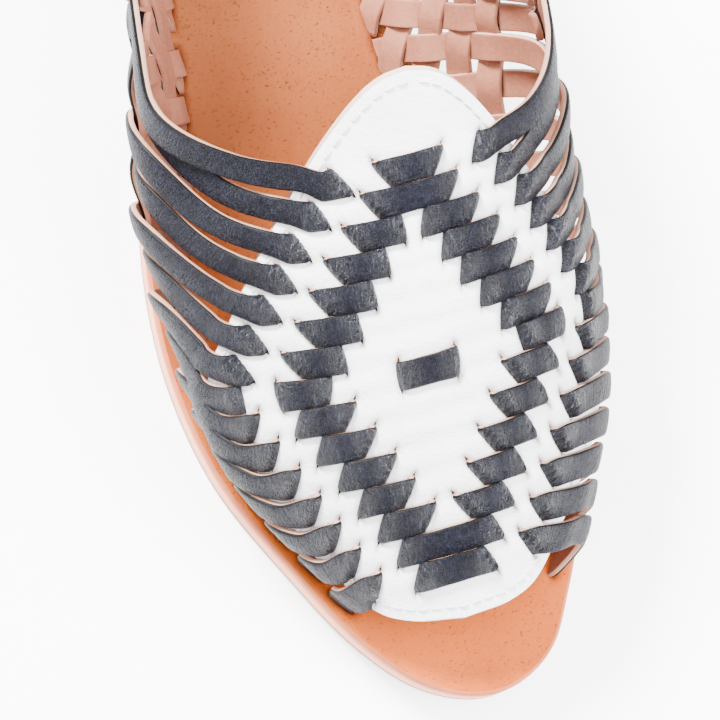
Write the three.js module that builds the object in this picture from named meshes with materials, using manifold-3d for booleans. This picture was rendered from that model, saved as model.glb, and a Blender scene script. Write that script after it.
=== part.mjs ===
// A right huarache sandal: a white vamp plate threaded by navy straps, a woven quarter
// and a low stacked sole. Millimetres. X runs to the toe, Y to the big-toe side, Z up,
// with the origin at the centre of the heel's flat rest on the floor.

import * as THREE from 'three';
import { mergeVertices } from 'three/addons/utils/BufferGeometryUtils.js';
import Module from 'manifold-3d';

const wasm = await Module();
wasm.setup();

// Driving dimensions

const LENGTH = 250; // back of the heel to the tip of the toe
const BALL_WIDTH = 90; // sole's width at the ball
const INSTEP = 60; // crown of the last above the footbed at the plate's rear
const HEEL_RADIUS = 31; // round back of the sole

const HEEL_LIFT = 8; // height of the heel block
const HEEL_BREAST = 62; // heel block's front, from the heel's back
const ARCH_END = 140; // where the sole comes down to the floor
const SPRING_START = 195; // where the toe begins to rise
const TOE_SPRING = 5; // rise of the toe's tip
const HEEL_INSET = 0.6; // heel block inside the sole's edge

const OUTSOLE = 1.5; // thickness of each layer
const MIDSOLE = 4.2;
const FOOTBED = 2.3;
const FIT = 0.3; // clearance between neighbouring pieces
const SLIT_INSET = 5; // slits inside the footbed's edge, before the table's factors

const STRAP_WIDTH = 6;
const STRAP_THICK = 1.5;
const PLATE_THICK = 2;
const PLATE_RISE = 1.6; // a strap's middle above the plate's middle where it shows

const ROWS = 15; // straps across the vamp, the first at the collar
const FIRST_ROW = 138.8; // where the first strap crosses the crown, from the heel's back
const ROW_PITCH = 5.95;
const ROW_SKEW = -0.069; // straps lie further back on the big-toe side
const ROW_BOW = 0.0034; // and further back away from the crown
const PLATE_REAR = 119.7; // ends of the plate, from the heel's back
const PLATE_FRONT = 233;
const PLATE_HALF = 50; // half of the plate's width, along the surface

const SWELL_PITCH = { lateral: 9.2, medial: 8 }; // straps' pitch where the wall swells most
const SECOND_SWELL = { lateral: 103, medial: 115 }; // strap two there, from the heel's back
const COLLAR_BACK = 54; // height of the collar up the back of the heel

const QUARTER_PITCH = 15; // straps of the quarter, middle to middle
const QUARTER_WIDTH = 10.5;
const QUARTER_THICK = 2; // the woven wall, two straps pressed into one
const STEEP_LEAN = 0.36; // run over rise of a strap that climbs steeply
const SHALLOW_LEAN = 1.5; // and of one that climbs slowly
const CROSS_FRONT = { lateral: 157, medial: 150 }; // foremost slowly climbing strap's slit

// Tables: lengths as shares of the named sizes

// the sole's edge on each side, as shares of LENGTH and BALL_WIDTH
const EDGE = [
  { along: 0.124, lateral: 0.344, medial: 0.344 },
  { along: 0.24, lateral: 0.338, medial: 0.325 },
  { along: 0.36, lateral: 0.355, medial: 0.312 },
  { along: 0.47, lateral: 0.415, medial: 0.4 },
  { along: 0.57, lateral: 0.455, medial: 0.49 },
  { along: 0.664, lateral: 0.452, medial: 0.548 },
  { along: 0.76, lateral: 0.392, medial: 0.552 },
  { along: 0.86, lateral: 0.252, medial: 0.502 },
  { along: 0.93, lateral: 0.135, medial: 0.415 },
];
// the toe's round end, from the little-toe side to the big-toe side
const TOE = [
  { along: 0.975, across: -0.02 },
  { along: 0.996, across: 0.09 },
  { along: 1, across: 0.18 },
  { along: 0.99, across: 0.27 },
  { along: 0.968, across: 0.35 },
];
// the last: slit insets as factors of SLIT_INSET, how far the wall swells past the slits
// and the ridge's offset as shares of BALL_WIDTH, heights above the footbed as shares of
// INSTEP, and how far the ridge tips over to the little-toe side, in degrees
const LAST = [
  { along: 0.124, insetLat: 1.2, insetMed: 1.2, swellLat: 0.067, swellMed: 0.07,
    latUp: 0.57, medUp: 0.57, ridge: 0, ridgeUp: 1.63, tip: 0 },
  { along: 0.24, insetLat: 1.2, insetMed: 1.1, swellLat: 0.11, swellMed: 0.145,
    latUp: 0.66, medUp: 0.7, ridge: 0.03, ridgeUp: 1.46, tip: 0 },
  { along: 0.36, insetLat: 1.5, insetMed: 1.1, swellLat: 0.165, swellMed: 0.245,
    latUp: 0.66, medUp: 0.73, ridge: 0.09, ridgeUp: 1.23, tip: 3 },
  { along: 0.47, insetLat: 2, insetMed: 1.6, swellLat: 0.18, swellMed: 0.25,
    latUp: 0.55, medUp: 0.6, ridge: 0.125, ridgeUp: 1, tip: 6 },
  { along: 0.56, insetLat: 1.6, insetMed: 1.6, swellLat: 0.133, swellMed: 0.205,
    latUp: 0.4, medUp: 0.45, ridge: 0.103, ridgeUp: 0.86, tip: 9 },
  { along: 0.664, insetLat: 1.2, insetMed: 1.3, swellLat: 0.095, swellMed: 0.145,
    latUp: 0.28, medUp: 0.32, ridge: 0.08, ridgeUp: 0.735, tip: 9 },
  { along: 0.76, insetLat: 1, insetMed: 1.1, swellLat: 0.07, swellMed: 0.095,
    latUp: 0.22, medUp: 0.25, ridge: 0.075, ridgeUp: 0.6, tip: 8 },
  { along: 0.86, insetLat: 0.9, insetMed: 1, swellLat: 0.045, swellMed: 0.055,
    latUp: 0.165, medUp: 0.185, ridge: 0.075, ridgeUp: 0.42, tip: 6 },
  { along: 0.95, insetLat: 0.8, insetMed: 1, swellLat: 0.02, swellMed: 0.03,
    latUp: 0.11, medUp: 0.13, ridge: 0.09, ridgeUp: 0.26, tip: 4 },
];
// each strap's slots: where it meets the plate's edge slot and where the diamond's band
// begins and ends, in mm from the crown's ridge; no inner end where it runs right across
const SLOTS = [
  { edge: 15, bandOut: 5.8, bandIn: 0 },
  { edge: 20, bandOut: 8.8, bandIn: 0 },
  { edge: 24.7, bandOut: 13.2, bandIn: 2.6 },
  { edge: 28.3, bandOut: 17.6, bandIn: 6.6 },
  { edge: 32.2, bandOut: 21.3, bandIn: 10.2 },
  { edge: 36, bandOut: 25, bandIn: 14.1 },
  { edge: 39.8, bandOut: 28.8, bandIn: 18.2 },
  { edge: 41.4, bandOut: 32.6, bandIn: 22 },
  { edge: 39.1, bandOut: 28.8, bandIn: 18.4 },
  { edge: 35.6, bandOut: 25, bandIn: 14.8 },
  { edge: 31.8, bandOut: 21, bandIn: 11.2 },
  { edge: 28.1, bandOut: 17.5, bandIn: 7.8 },
  { edge: 24.6, bandOut: 13.9, bandIn: 4 },
  { edge: 21, bandOut: 10.5, bandIn: 0 },
  { edge: 17.3, bandOut: 7.8, bandIn: 0 },
];
const MIDDLE_ROW = 8; // this strap also shows once at the diamond's heart
const HEART_HALF = 6.2;
// half of the plate's width, as a share of PLATE_HALF, from its rear to its front
const PLATE = [
  { along: 0, half: 0 },
  { along: 0.03, half: 0.2 },
  { along: 0.095, half: 0.37 },
  { along: 0.18, half: 0.53 },
  { along: 0.36, half: 0.82 },
  { along: 0.48, half: 0.99 },
  { along: 0.58, half: 0.97 },
  { along: 0.72, half: 0.8 },
  { along: 0.87, half: 0.53 },
  { along: 0.955, half: 0.36 },
  { along: 0.988, half: 0.2 },
  { along: 1, half: 0 },
];
// the collar strap where it leaves the crown: station from the heel's back, mm from the ridge
const COLLAR = {
  lateral: [{ station: 131, girth: 37.5 }, { station: 117, girth: 55.5 }],
  medial: [{ station: 130, girth: 29.5 }, { station: 117, girth: 38.2 }],
};
// the collar's height up the wall, from where it leaves the crown to the heel's side
const TOPLINE = {
  lateral: [{ station: 100, up: 48 }, { station: 75, up: 50 }, { station: 45, up: 52 }],
  medial: [{ station: 100, up: 56 }, { station: 75, up: 54.5 }, { station: 45, up: 54 }],
};

const LATERAL = -1; // side signs along Y
const MEDIAL = 1;
const nameOf = (side) => (side === LATERAL ? 'lateral' : 'medial');

// Smooth curves through the tables

// value of one column at a place along the table, on a cubic that never overshoots
function column(table, name, along) {
  const last = table.length - 1;
  if (along <= table[0].along) return table[0][name];
  if (along >= table[last].along) return table[last][name];
  let i = 0;
  while (along > table[i + 1].along) i += 1;
  const rise = (k) => (table[k + 1][name] - table[k][name]) / (table[k + 1].along - table[k].along);
  const slope = (k) => {
    if (k === 0) return rise(0);
    if (k === last) return rise(last - 1);
    const before = rise(k - 1);
    const after = rise(k);
    return before * after > 0 ? (2 * before * after) / (before + after) : 0;
  };
  const width = table[i + 1].along - table[i].along;
  const t = (along - table[i].along) / width;
  const a = table[i][name];
  const b = table[i + 1][name];
  return (
    a * (2 * t ** 3 - 3 * t ** 2 + 1) +
    b * (3 * t ** 2 - 2 * t ** 3) +
    width * (slope(i) * (t ** 3 - 2 * t ** 2 + t) + slope(i + 1) * (t ** 3 - t ** 2))
  );
}

// height of the sole's underside at a station from the heel's back
function underside(station) {
  if (station < ARCH_END) {
    const t = THREE.MathUtils.clamp((station - HEEL_BREAST) / (ARCH_END - HEEL_BREAST), 0, 1);
    return HEEL_LIFT * (1 - t * t * (3 - 2 * t));
  }
  const t = Math.max(0, (station - SPRING_START) / (LENGTH - SPRING_START));
  return TOE_SPRING * t * t;
}
const MIDSOLE_BASE = OUTSOLE + FIT;
const FOOTBED_BASE = MIDSOLE_BASE + MIDSOLE + FIT;
const SOLE_THICK = FOOTBED_BASE + FOOTBED;
const footbedTop = (station) => underside(station) + SOLE_THICK;

// half-width of the sole at a station in front of the heel's round back
function soleEdge(side, station) {
  return column(EDGE, nameOf(side), station / LENGTH) * BALL_WIDTH;
}

// The last. A place on its wall is a side, a path distance from the middle of the heel's
// back, and a height up the wall from the slits; the path follows the foot's side from the
// heel's centre to the toe.

const HEEL_PATH = HEEL_RADIUS - SLIT_INSET;
const HEEL_ARC = (HEEL_PATH * Math.PI) / 2;
const HALF_STEPS = 20; // points on each half of a section
const ROUND = 0.56; // handle of a curve that rounds off like an ellipse
const SLIT_HANDLE = 0.45;

const pathAt = (station) => station - HEEL_RADIUS + HEEL_ARC;
const stationAt = (path) => Math.max(path - HEEL_ARC, 0) + HEEL_RADIUS;

function bezier(a, b, c, d, t) {
  const s = 1 - t;
  return a * s ** 3 + 3 * b * s * s * t + 3 * c * s * t * t + d * t ** 3;
}

// one half of the section at a path distance: its points from the slit to the ridge, as
// distance out from the last's middle line and height, with the length along them
const halves = new Map();
function half(side, path) {
  const key = `${side} ${path.toFixed(2)}`;
  if (halves.has(key)) return halves.get(key);
  const station = stationAt(path);
  const look = (name) => column(LAST, name, station / LENGTH);
  const short = side === LATERAL ? 'Lat' : 'Med';
  const slit = soleEdge(side, station) - SLIT_INSET * look(`inset${short}`);
  const swell = slit + BALL_WIDTH * look(`swell${short}`);
  const swellUp = INSTEP * look(side === LATERAL ? 'latUp' : 'medUp');
  const ridge = side * BALL_WIDTH * look('ridge');
  const ridgeUp = INSTEP * look('ridgeUp');
  const tip = THREE.MathUtils.degToRad(look('tip')) * side;
  const floor = footbedTop(station);
  const reach = (swell - ridge) * ROUND;
  const points = [];
  for (let k = 0; k <= HALF_STEPS; k += 1) {
    const t = k / HALF_STEPS;
    points.push([
      bezier(slit, slit + (swell - slit) * SLIT_HANDLE, swell, swell, t),
      bezier(0, swellUp * 0.3, swellUp * (1 - SLIT_HANDLE), swellUp, t),
    ]);
  }
  for (let k = 1; k <= HALF_STEPS; k += 1) {
    const t = k / HALF_STEPS;
    points.push([
      bezier(swell, swell, ridge + reach * Math.cos(tip), ridge, t),
      bezier(swellUp, swellUp + (ridgeUp - swellUp) * ROUND, ridgeUp + reach * Math.sin(tip), ridgeUp, t),
    ]);
  }
  const lengths = [0];
  for (let k = 1; k < points.length; k += 1) {
    const step = Math.hypot(points[k][0] - points[k - 1][0], points[k][1] - points[k - 1][1]);
    lengths.push(lengths[k - 1] + step);
  }
  const result = { points, lengths, total: lengths[lengths.length - 1], floor, swellLength: lengths[HALF_STEPS] };
  halves.set(key, result);
  return result;
}
const halfGirth = (side, path) => half(side, path).total;

// point of the last's skin; heights below the slit run straight on down
function onLast(side, path, up) {
  const section = half(side, path);
  const { points, lengths } = section;
  let k = 1;
  while (k < points.length - 1 && lengths[k] < up) k += 1;
  const t = (up - lengths[k - 1]) / (lengths[k] - lengths[k - 1]);
  const out = points[k - 1][0] + (points[k][0] - points[k - 1][0]) * t;
  const height = points[k - 1][1] + (points[k][1] - points[k - 1][1]) * t;
  const turn = Math.min(path / HEEL_ARC, 1) * (Math.PI / 2);
  const centre = stationAt(path);
  return new THREE.Vector3(
    centre - out * Math.cos(turn) - HEEL_RADIUS,
    side * out * Math.sin(turn),
    section.floor + height
  );
}

// a place on the last by signed path: negative on the little-toe side, through the heel's
// back at nought; over the crown the height is counted on from the ridge to the other side
function skin(place, lift) {
  const at = (path, up) => {
    const side = path < 0 ? LATERAL : MEDIAL;
    return onLast(side, Math.abs(path), up);
  };
  const crossed = (path, up) => {
    const side = path < 0 ? LATERAL : MEDIAL;
    const total = halfGirth(side, Math.abs(path));
    if (up <= total) return at(path, up);
    return onLast(-side, Math.abs(path), halfGirth(-side, Math.abs(path)) - (up - total));
  };
  const d = 0.4;
  const along = crossed(place.path + d, place.up).sub(crossed(place.path - d, place.up));
  const upwards = crossed(place.path, place.up + d).sub(crossed(place.path, place.up - d));
  const normal = upwards.cross(along).normalize();
  return { point: crossed(place.path, place.up).addScaledVector(normal, lift), normal };
}

// a place by station and signed distance from the ridge, the big-toe side positive
function crown(station, girth) {
  const side = girth < 0 ? LATERAL : MEDIAL;
  const path = pathAt(station);
  return { path: side * path, up: halfGirth(side, path) - Math.abs(girth) };
}

// Solids

function solidOf(positions, triangles) {
  let geometry = new THREE.BufferGeometry();
  geometry.setAttribute('position', new THREE.Float32BufferAttribute(positions, 3));
  geometry.setIndex(triangles);
  geometry = mergeVertices(geometry, 1e-4);
  const index = geometry.index.array;
  const kept = [];
  for (let k = 0; k < index.length; k += 3) {
    const [a, b, c] = [index[k], index[k + 1], index[k + 2]];
    if (a !== b && b !== c && a !== c) kept.push(a, b, c);
  }
  const mesh = new wasm.Mesh({
    numProp: 3,
    vertProperties: new Float32Array(geometry.attributes.position.array),
    triVerts: new Uint32Array(kept),
  });
  return new wasm.Manifold(mesh);
}

function geometryOf(solid) {
  const mesh = solid.getMesh();
  const geometry = new THREE.BufferGeometry();
  geometry.setAttribute('position', new THREE.BufferAttribute(new Float32Array(mesh.vertProperties), 3));
  geometry.setIndex(new THREE.BufferAttribute(new Uint32Array(mesh.triVerts), 1));
  geometry.computeVertexNormals();
  return geometry;
}

// a closed skin over rings of corners: each ring joined to the next, and the ends capped
function tube(rings) {
  const sides = rings[0].length;
  const positions = rings.flat().flatMap((p) => [p.x, p.y, p.z]);
  const triangles = [];
  const end = (rings.length - 1) * sides;
  for (let r = 0; r < end; r += sides) {
    for (let c = 0; c < sides; c += 1) {
      const d = (c + 1) % sides;
      const [a, b] = [r + c, r + d];
      const [e, f] = [a + sides, b + sides];
      triangles.push(a, b, f, a, f, e);
    }
  }
  for (let c = 1; c < sides - 1; c += 1) {
    triangles.push(0, c + 1, c, end, end + c, end + c + 1);
  }
  return solidOf(positions, triangles);
}

// a flat strap along places on the last, each with its lift off the wall's middle
function strap(places, width = STRAP_WIDTH, thick = STRAP_THICK) {
  const spots = places.map((place) => skin(place, place.lift));
  const rings = spots.map((spot, k) => {
    const count = spots.length;
    const before = spots[Math.max(k - 1, 0)].point;
    const after = spots[Math.min(k + 1, count - 1)].point;
    const ahead = after.clone().sub(before).normalize();
    const across = spot.normal.clone().cross(ahead).normalize();
    const out = ahead.clone().cross(across).normalize();
    const corner = (w, n) =>
      spot.point
        .clone()
        .addScaledVector(across, (w * width) / 2)
        .addScaledVector(out, (n * thick) / 2);
    return [corner(-1, -1), corner(1, -1), corner(1, 1), corner(-1, 1)];
  });
  return tube(rings);
}

// The weave

const mix = (a, b, t) => a + (b - a) * t;

// a smooth path through a few places, as equal steps of the curve's parameter
function smoothPlaces(knots, steps, looped = false) {
  const points = knots.map((k) => new THREE.Vector3(k.path, k.up, 0));
  const curve = new THREE.CatmullRomCurve3(points, looped, 'centripetal');
  return curve.getSpacedPoints(steps).map((p) => ({ path: p.x, up: p.y }));
}

// station at which a row's strap crosses the plate, at a distance from the ridge
function rowStation(row, girth) {
  return FIRST_ROW + ROW_PITCH * (row - 1) + ROW_SKEW * girth - ROW_BOW * girth * girth;
}

// the collar strap's middle on one side, from the crown back to the heel's side
function collarKnots(side) {
  const name = nameOf(side);
  const onCrown = COLLAR[name].map(({ station, girth }) => crown(station, side * girth));
  const onWall = TOPLINE[name].map(({ station, up }) => ({ path: side * pathAt(station), up }));
  return [...onCrown, ...onWall];
}
const collarTables = [LATERAL, MEDIAL].map((side) => [
  { along: 0, up: COLLAR_BACK },
  ...collarKnots(side).reverse().map((knot) => ({ along: Math.abs(knot.path), up: knot.up })),
]);
function collarUp(path) {
  return column(collarTables[path < 0 ? 0 : 1], 'up', Math.abs(path));
}

// a vamp strap's outer run on one side, from the plate's edge slot down to the footbed
const SLIT_DEPTH = -2.5; // straps run on below the footbed's surface before they are trimmed
const OUTER_STEPS = 5;
const EASE_STEPS = 2; // a strap comes down from the plate's face to the wall in so many steps
const OUTER_LIFT = 0.6; // and from there on lies proud of the straps that cross behind it
function outerRun(row, side) {
  const { edge } = SLOTS[row - 1];
  const name = nameOf(side);
  const slot = crown(rowStation(row, side * edge), side * edge);
  const swellStation = SECOND_SWELL[name] + SWELL_PITCH[name] * (row - 2);
  const swellUp = half(side, pathAt(swellStation)).swellLength;
  const upright = (row - 2) / (ROWS - 2); // the foremost straps hang straight down
  const lean = STEEP_LEAN * swellUp * (1 - upright);
  const slotStation = stationAt(Math.abs(slot.path));
  const between = { station: mix(slotStation, swellStation, 0.38), up: mix(slot.up, swellUp, 0.52) };
  const knots = [
    slot,
    { path: side * pathAt(between.station), up: between.up },
    { path: side * pathAt(swellStation), up: swellUp },
    { path: side * pathAt(swellStation - lean), up: 0 },
    { path: side * pathAt(swellStation - lean - STEEP_LEAN * (1 - upright)), up: SLIT_DEPTH },
  ];
  return smoothPlaces(knots, OUTER_STEPS);
}
// where strap two's slits are, from which the quarter's steep straps count on backwards
function slitPath(side) {
  const swellStation = SECOND_SWELL[nameOf(side)];
  const path = pathAt(swellStation);
  return path - STEEP_LEAN * half(side, path).swellLength;
}

// a quarter strap's lean grows steadily from its steep end round the heel to its shallow end
const STEEP_END = { lateral: slitPath(LATERAL), medial: slitPath(MEDIAL) };
const SHALLOW_END = {
  lateral: pathAt(CROSS_FRONT.lateral),
  medial: pathAt(CROSS_FRONT.medial),
};
// one family's straps as straight lines of the unrolled wall: path where the height is
// nought, and run over rise; from the foremost on the family's own side round the heel
function quarterFamily(side) {
  const steepEnd = STEEP_END[nameOf(side)];
  const shallowEnd = SHALLOW_END[nameOf(-side)];
  const lean = (slit) => mix(STEEP_LEAN, SHALLOW_LEAN, (steepEnd - slit) / (steepEnd + shallowEnd));
  const slits = [steepEnd];
  while (slits[slits.length - 1] > -shallowEnd) {
    const slit = slits[slits.length - 1];
    slits.push(slit - QUARTER_PITCH * Math.hypot(1, lean(slit)));
  }
  const stretch = (shallowEnd + steepEnd) / (steepEnd - slits[slits.length - 1]);
  return slits
    .map((slit) => steepEnd + (slit - steepEnd) * stretch)
    .map((slit) => ({ side, slit: side * slit, lean: side * lean(slit) }));
}
const linePath = (line, up) => line.slit + line.lean * up;

// the gap between two neighbours of one family and two of the other, as corners on the
// unrolled wall, cut off below the collar and above the footbed
const GAP_BELOW_COLLAR = 4.5;
const GAP_ABOVE_BED = 1.5;
const SMALLEST_GAP = 5; // square millimetres
function gapCorners([a, b], [c, d]) {
  const share = QUARTER_WIDTH / QUARTER_PITCH / 2;
  const edge = (line, towards) => ({
    slit: mix(line.slit, towards.slit, share),
    lean: mix(line.lean, towards.lean, share),
  });
  const meet = (e, f) => {
    const up = (f.slit - e.slit) / (e.lean - f.lean);
    return { path: linePath(e, up), up };
  };
  const [ea, eb, ec, ed] = [edge(a, b), edge(b, a), edge(c, d), edge(d, c)];
  const corners = [meet(ea, ec), meet(eb, ec), meet(eb, ed), meet(ea, ed)];
  const middle = corners.reduce((sum, corner) => sum + corner.path / corners.length, 0);
  const high = collarUp(middle) - GAP_BELOW_COLLAR;
  const cutAbove = cutPolygon(corners, (corner) => high - corner.up);
  return cutPolygon(cutAbove, (corner) => corner.up - GAP_ABOVE_BED);
}

// the part of a convex polygon where a measure isn't negative
function cutPolygon(corners, measure) {
  return corners.flatMap((corner, k) => {
    const next = corners[(k + 1) % corners.length];
    const [m, n] = [measure(corner), measure(next)];
    const kept = m >= 0 ? [corner] : [];
    if (m * n < 0) {
      const t = m / (m - n);
      kept.push({ path: mix(corner.path, next.path, t), up: mix(corner.up, next.up, t) });
    }
    return kept;
  });
}
function areaOf(corners) {
  const twice = corners.reduce((sum, corner, k) => {
    const next = corners[(k + 1) % corners.length];
    return sum + corner.path * next.up - next.path * corner.up;
  }, 0);
  return Math.abs(twice) / 2;
}

// where a row's strap shows on the plate: its stretches from slot to slot, by distance from
// the ridge, the big-toe side positive
function shownStretches(row) {
  const { bandOut, bandIn } = SLOTS[row - 1];
  const bands = bandIn > 0 ? [[-bandOut, -bandIn], [bandIn, bandOut]] : [[-bandOut, bandOut]];
  if (row === MIDDLE_ROW) bands.splice(1, 0, [-HEART_HALF, HEART_HALF]);
  return bands;
}

// a strap's place on the plate
function onPlate(row, girth, lift) {
  return { ...crown(rowStation(row, girth), girth), lift };
}

const SLOT_RAMP = 1.8; // a strap comes up out of its slot within this distance
const SHOWN_STEP = 9;
function shownStrap(row, [from, to]) {
  const steps = Math.max(1, Math.round((to - from) / SHOWN_STEP));
  const places = [onPlate(row, from, 0)];
  for (let k = 0; k <= steps; k += 1) {
    places.push(onPlate(row, mix(from + SLOT_RAMP, to - SLOT_RAMP, k / steps), PLATE_RISE));
  }
  places.push(onPlate(row, to, 0));
  return strap(places);
}

// The upper

// a vamp strap from its slot in the plate down to the footbed on one side
function outerStrap(row, side) {
  const { edge } = SLOTS[row - 1];
  const run = outerRun(row, side);
  const places = run.map((place, k) => ({
    ...place,
    lift: Math.max(OUTER_LIFT, mix(PLATE_RISE, OUTER_LIFT, k / EASE_STEPS)),
  }));
  return strap([onPlate(row, side * (edge - SLOT_RAMP), 0), ...places]);
}

// places along the woven wall's top, between the steepest strap of each side
const WALL_COLUMNS = 24;
function wallTop(j) {
  const front = (side) => side * (STEEP_END[nameOf(side)] + STEEP_LEAN * COLLAR_BACK);
  const path = mix(front(MEDIAL), front(LATERAL), j / WALL_COLUMNS);
  return { path, up: collarUp(path) };
}

const COLLAR_THICK = 2.8; // the collar strap wraps the ends that it covers
const COLLAR_FRONT_STEPS = 5;
function collarStrap() {
  const front = (side) => {
    const slot = onPlate(1, side * SLOTS[0].edge, 0);
    const knots = [slot, ...collarKnots(side).slice(0, 2), wallTop(side === MEDIAL ? 0 : WALL_COLUMNS)];
    const end = onPlate(1, side * (SLOTS[0].edge - SLOT_RAMP), 0);
    return [end, ...smoothPlaces(knots, COLLAR_FRONT_STEPS)];
  };
  const back = Array.from({ length: WALL_COLUMNS - 1 }, (_, k) => wallTop(k + 1));
  const places = [...front(MEDIAL), ...back, ...front(LATERAL).reverse()];
  return strap(places.map((place) => ({ ...place, lift: 0 })), STRAP_WIDTH, COLLAR_THICK);
}

// a closed sheet between two lifts, over a grid of places on the last
function sheet(rows, columns, placeAt, thick) {
  const faces = [thick / 2, -thick / 2].map((lift) => {
    const points = [];
    for (let i = 0; i <= rows; i += 1) {
      for (let j = 0; j <= columns; j += 1) {
        points.push(skin(placeAt(i / rows, j / columns), lift).point);
      }
    }
    return points;
  });
  const positions = faces.flat().flatMap((p) => [p.x, p.y, p.z]);
  const under = faces[0].length;
  const at = (i, j) => i * (columns + 1) + j;
  const triangles = [];
  for (let i = 0; i < rows; i += 1) {
    for (let j = 0; j < columns; j += 1) {
      const [a, b, c, d] = [at(i, j), at(i + 1, j), at(i + 1, j + 1), at(i, j + 1)];
      triangles.push(a, b, c, a, c, d);
      triangles.push(under + a, under + c, under + b, under + a, under + d, under + c);
    }
  }
  const rim = [];
  for (let i = 0; i < rows; i += 1) rim.push([at(i, 0), at(i + 1, 0)], [at(i + 1, columns), at(i, columns)]);
  for (let j = 0; j < columns; j += 1) rim.push([at(0, j + 1), at(0, j)], [at(rows, j), at(rows, j + 1)]);
  rim.forEach(([a, b]) => triangles.push(a, under + a, under + b, a, under + b, b));
  return solidOf(positions, triangles);
}

const PLATE_STEPS = 14;
const PLATE_COLUMNS = 8;
function plate() {
  const place = (i, j) => {
    const t = (1 - Math.cos(Math.PI * i)) / 2; // closer steps at the round ends
    const halfWidth = column(PLATE, 'half', t) * PLATE_HALF;
    return crown(mix(PLATE_REAR, PLATE_FRONT, t), mix(-halfWidth, halfWidth, j));
  };
  return sheet(PLATE_STEPS, PLATE_COLUMNS, place, PLATE_THICK);
}

// the woven wall from strap two on one side round the heel to strap two on the other
const WALL_STEPS = 4;
function quarterWall() {
  const place = (i, j) => {
    const top = wallTop(j * WALL_COLUMNS);
    const rake = STEEP_LEAN * COLLAR_BACK * i * (1 - 2 * j); // the ends follow the steep straps
    return { path: top.path - rake, up: mix(top.up, SLIT_DEPTH, i) };
  };
  const families = [quarterFamily(LATERAL), quarterFamily(MEDIAL)];
  const pairs = families.map((lines) => lines.slice(1).map((line, k) => [lines[k], line]));
  const gaps = pairs[0].flatMap((pair) => pairs[1].map((other) => gapCorners(pair, other)));
  const wall = sheet(WALL_STEPS, WALL_COLUMNS, place, QUARTER_THICK);
  return gaps
    .filter((corners) => corners.length > 2 && areaOf(corners) > SMALLEST_GAP)
    .reduce((whole, corners) => whole.subtract(gapCutter(corners)), wall);
}
const CUTTER_REACH = 2.5; // a gap's cutter reaches this far off the wall's middle
function gapCutter(corners) {
  const ring = (lift) => corners.map((corner) => skin(corner, lift).point);
  const cutter = tube([ring(-CUTTER_REACH), ring(CUTTER_REACH)]);
  return cutter.volume() > 0 ? cutter : tube([ring(CUTTER_REACH), ring(-CUTTER_REACH)]);
}

// the stretch of a slowly climbing strap that lies in front of the woven wall
const TAIL_STEPS = 4;
const TAIL_TUCK = 3; // its end inside the wall
function frontTails(side) {
  const edge = STEEP_END[nameOf(side)];
  return quarterFamily(-side)
    .filter((line) => side * line.slit > edge)
    .map((line) => {
      const top = (side * line.slit - edge) / (Math.abs(line.lean) + STEEP_LEAN) + TAIL_TUCK;
      const places = Array.from({ length: TAIL_STEPS + 1 }, (_, k) => {
        const up = mix(SLIT_DEPTH, top, k / TAIL_STEPS);
        return { path: linePath(line, up), up, lift: 0 };
      });
      return strap(places);
    });
}

function upper() {
  const pieces = [quarterWall(), plate(), collarStrap()];
  for (let row = 1; row <= ROWS; row += 1) {
    shownStretches(row).forEach((stretch) => pieces.push(shownStrap(row, stretch)));
  }
  [LATERAL, MEDIAL].forEach((side) => {
    for (let row = 2; row <= ROWS; row += 1) pieces.push(outerStrap(row, side));
    pieces.push(...frontTails(side));
  });
  const wall = pieces.reduce((whole, piece) => whole.add(piece));
  const FAR_BELOW = -40;
  const sole = slab(0, () => FAR_BELOW, (station) => footbedTop(station) + FIT);
  return filled(wall.subtract(sole));
}
// the largest body of a union, without the sealed pockets that lapping straps leave in it
function filled(solid) {
  return solid.decompose().reduce((best, body) => (body.volume() > best.volume() ? body : best));
}

// The sole

// the sole's edge as a closed curve, from the heel's back up the little-toe side
const HEEL_TURNS = 3; // places round each quarter of the heel
function edgeCurve() {
  const corner = (angle, side) =>
    new THREE.Vector3(HEEL_RADIUS * (1 - Math.cos(angle)), side * HEEL_RADIUS * Math.sin(angle), 0);
  const heel = (side) =>
    Array.from({ length: HEEL_TURNS - 1 }, (_, k) => corner(((k + 1) * Math.PI) / 2 / HEEL_TURNS, side));
  const flank = (side) =>
    EDGE.map((row) => new THREE.Vector3(row.along * LENGTH, side * row[nameOf(side)] * BALL_WIDTH, 0));
  const toe = TOE.map((row) => new THREE.Vector3(row.along * LENGTH, row.across * BALL_WIDTH, 0));
  const points = [
    corner(0, 1),
    ...heel(LATERAL),
    ...flank(LATERAL),
    ...toe,
    ...flank(MEDIAL).reverse(),
    ...heel(MEDIAL).reverse(),
  ];
  const tip = HEEL_TURNS + EDGE.length + Math.floor(TOE.length / 2);
  return { curve: new THREE.CatmullRomCurve3(points, true, 'centripetal'), tip: tip / points.length };
}

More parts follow.
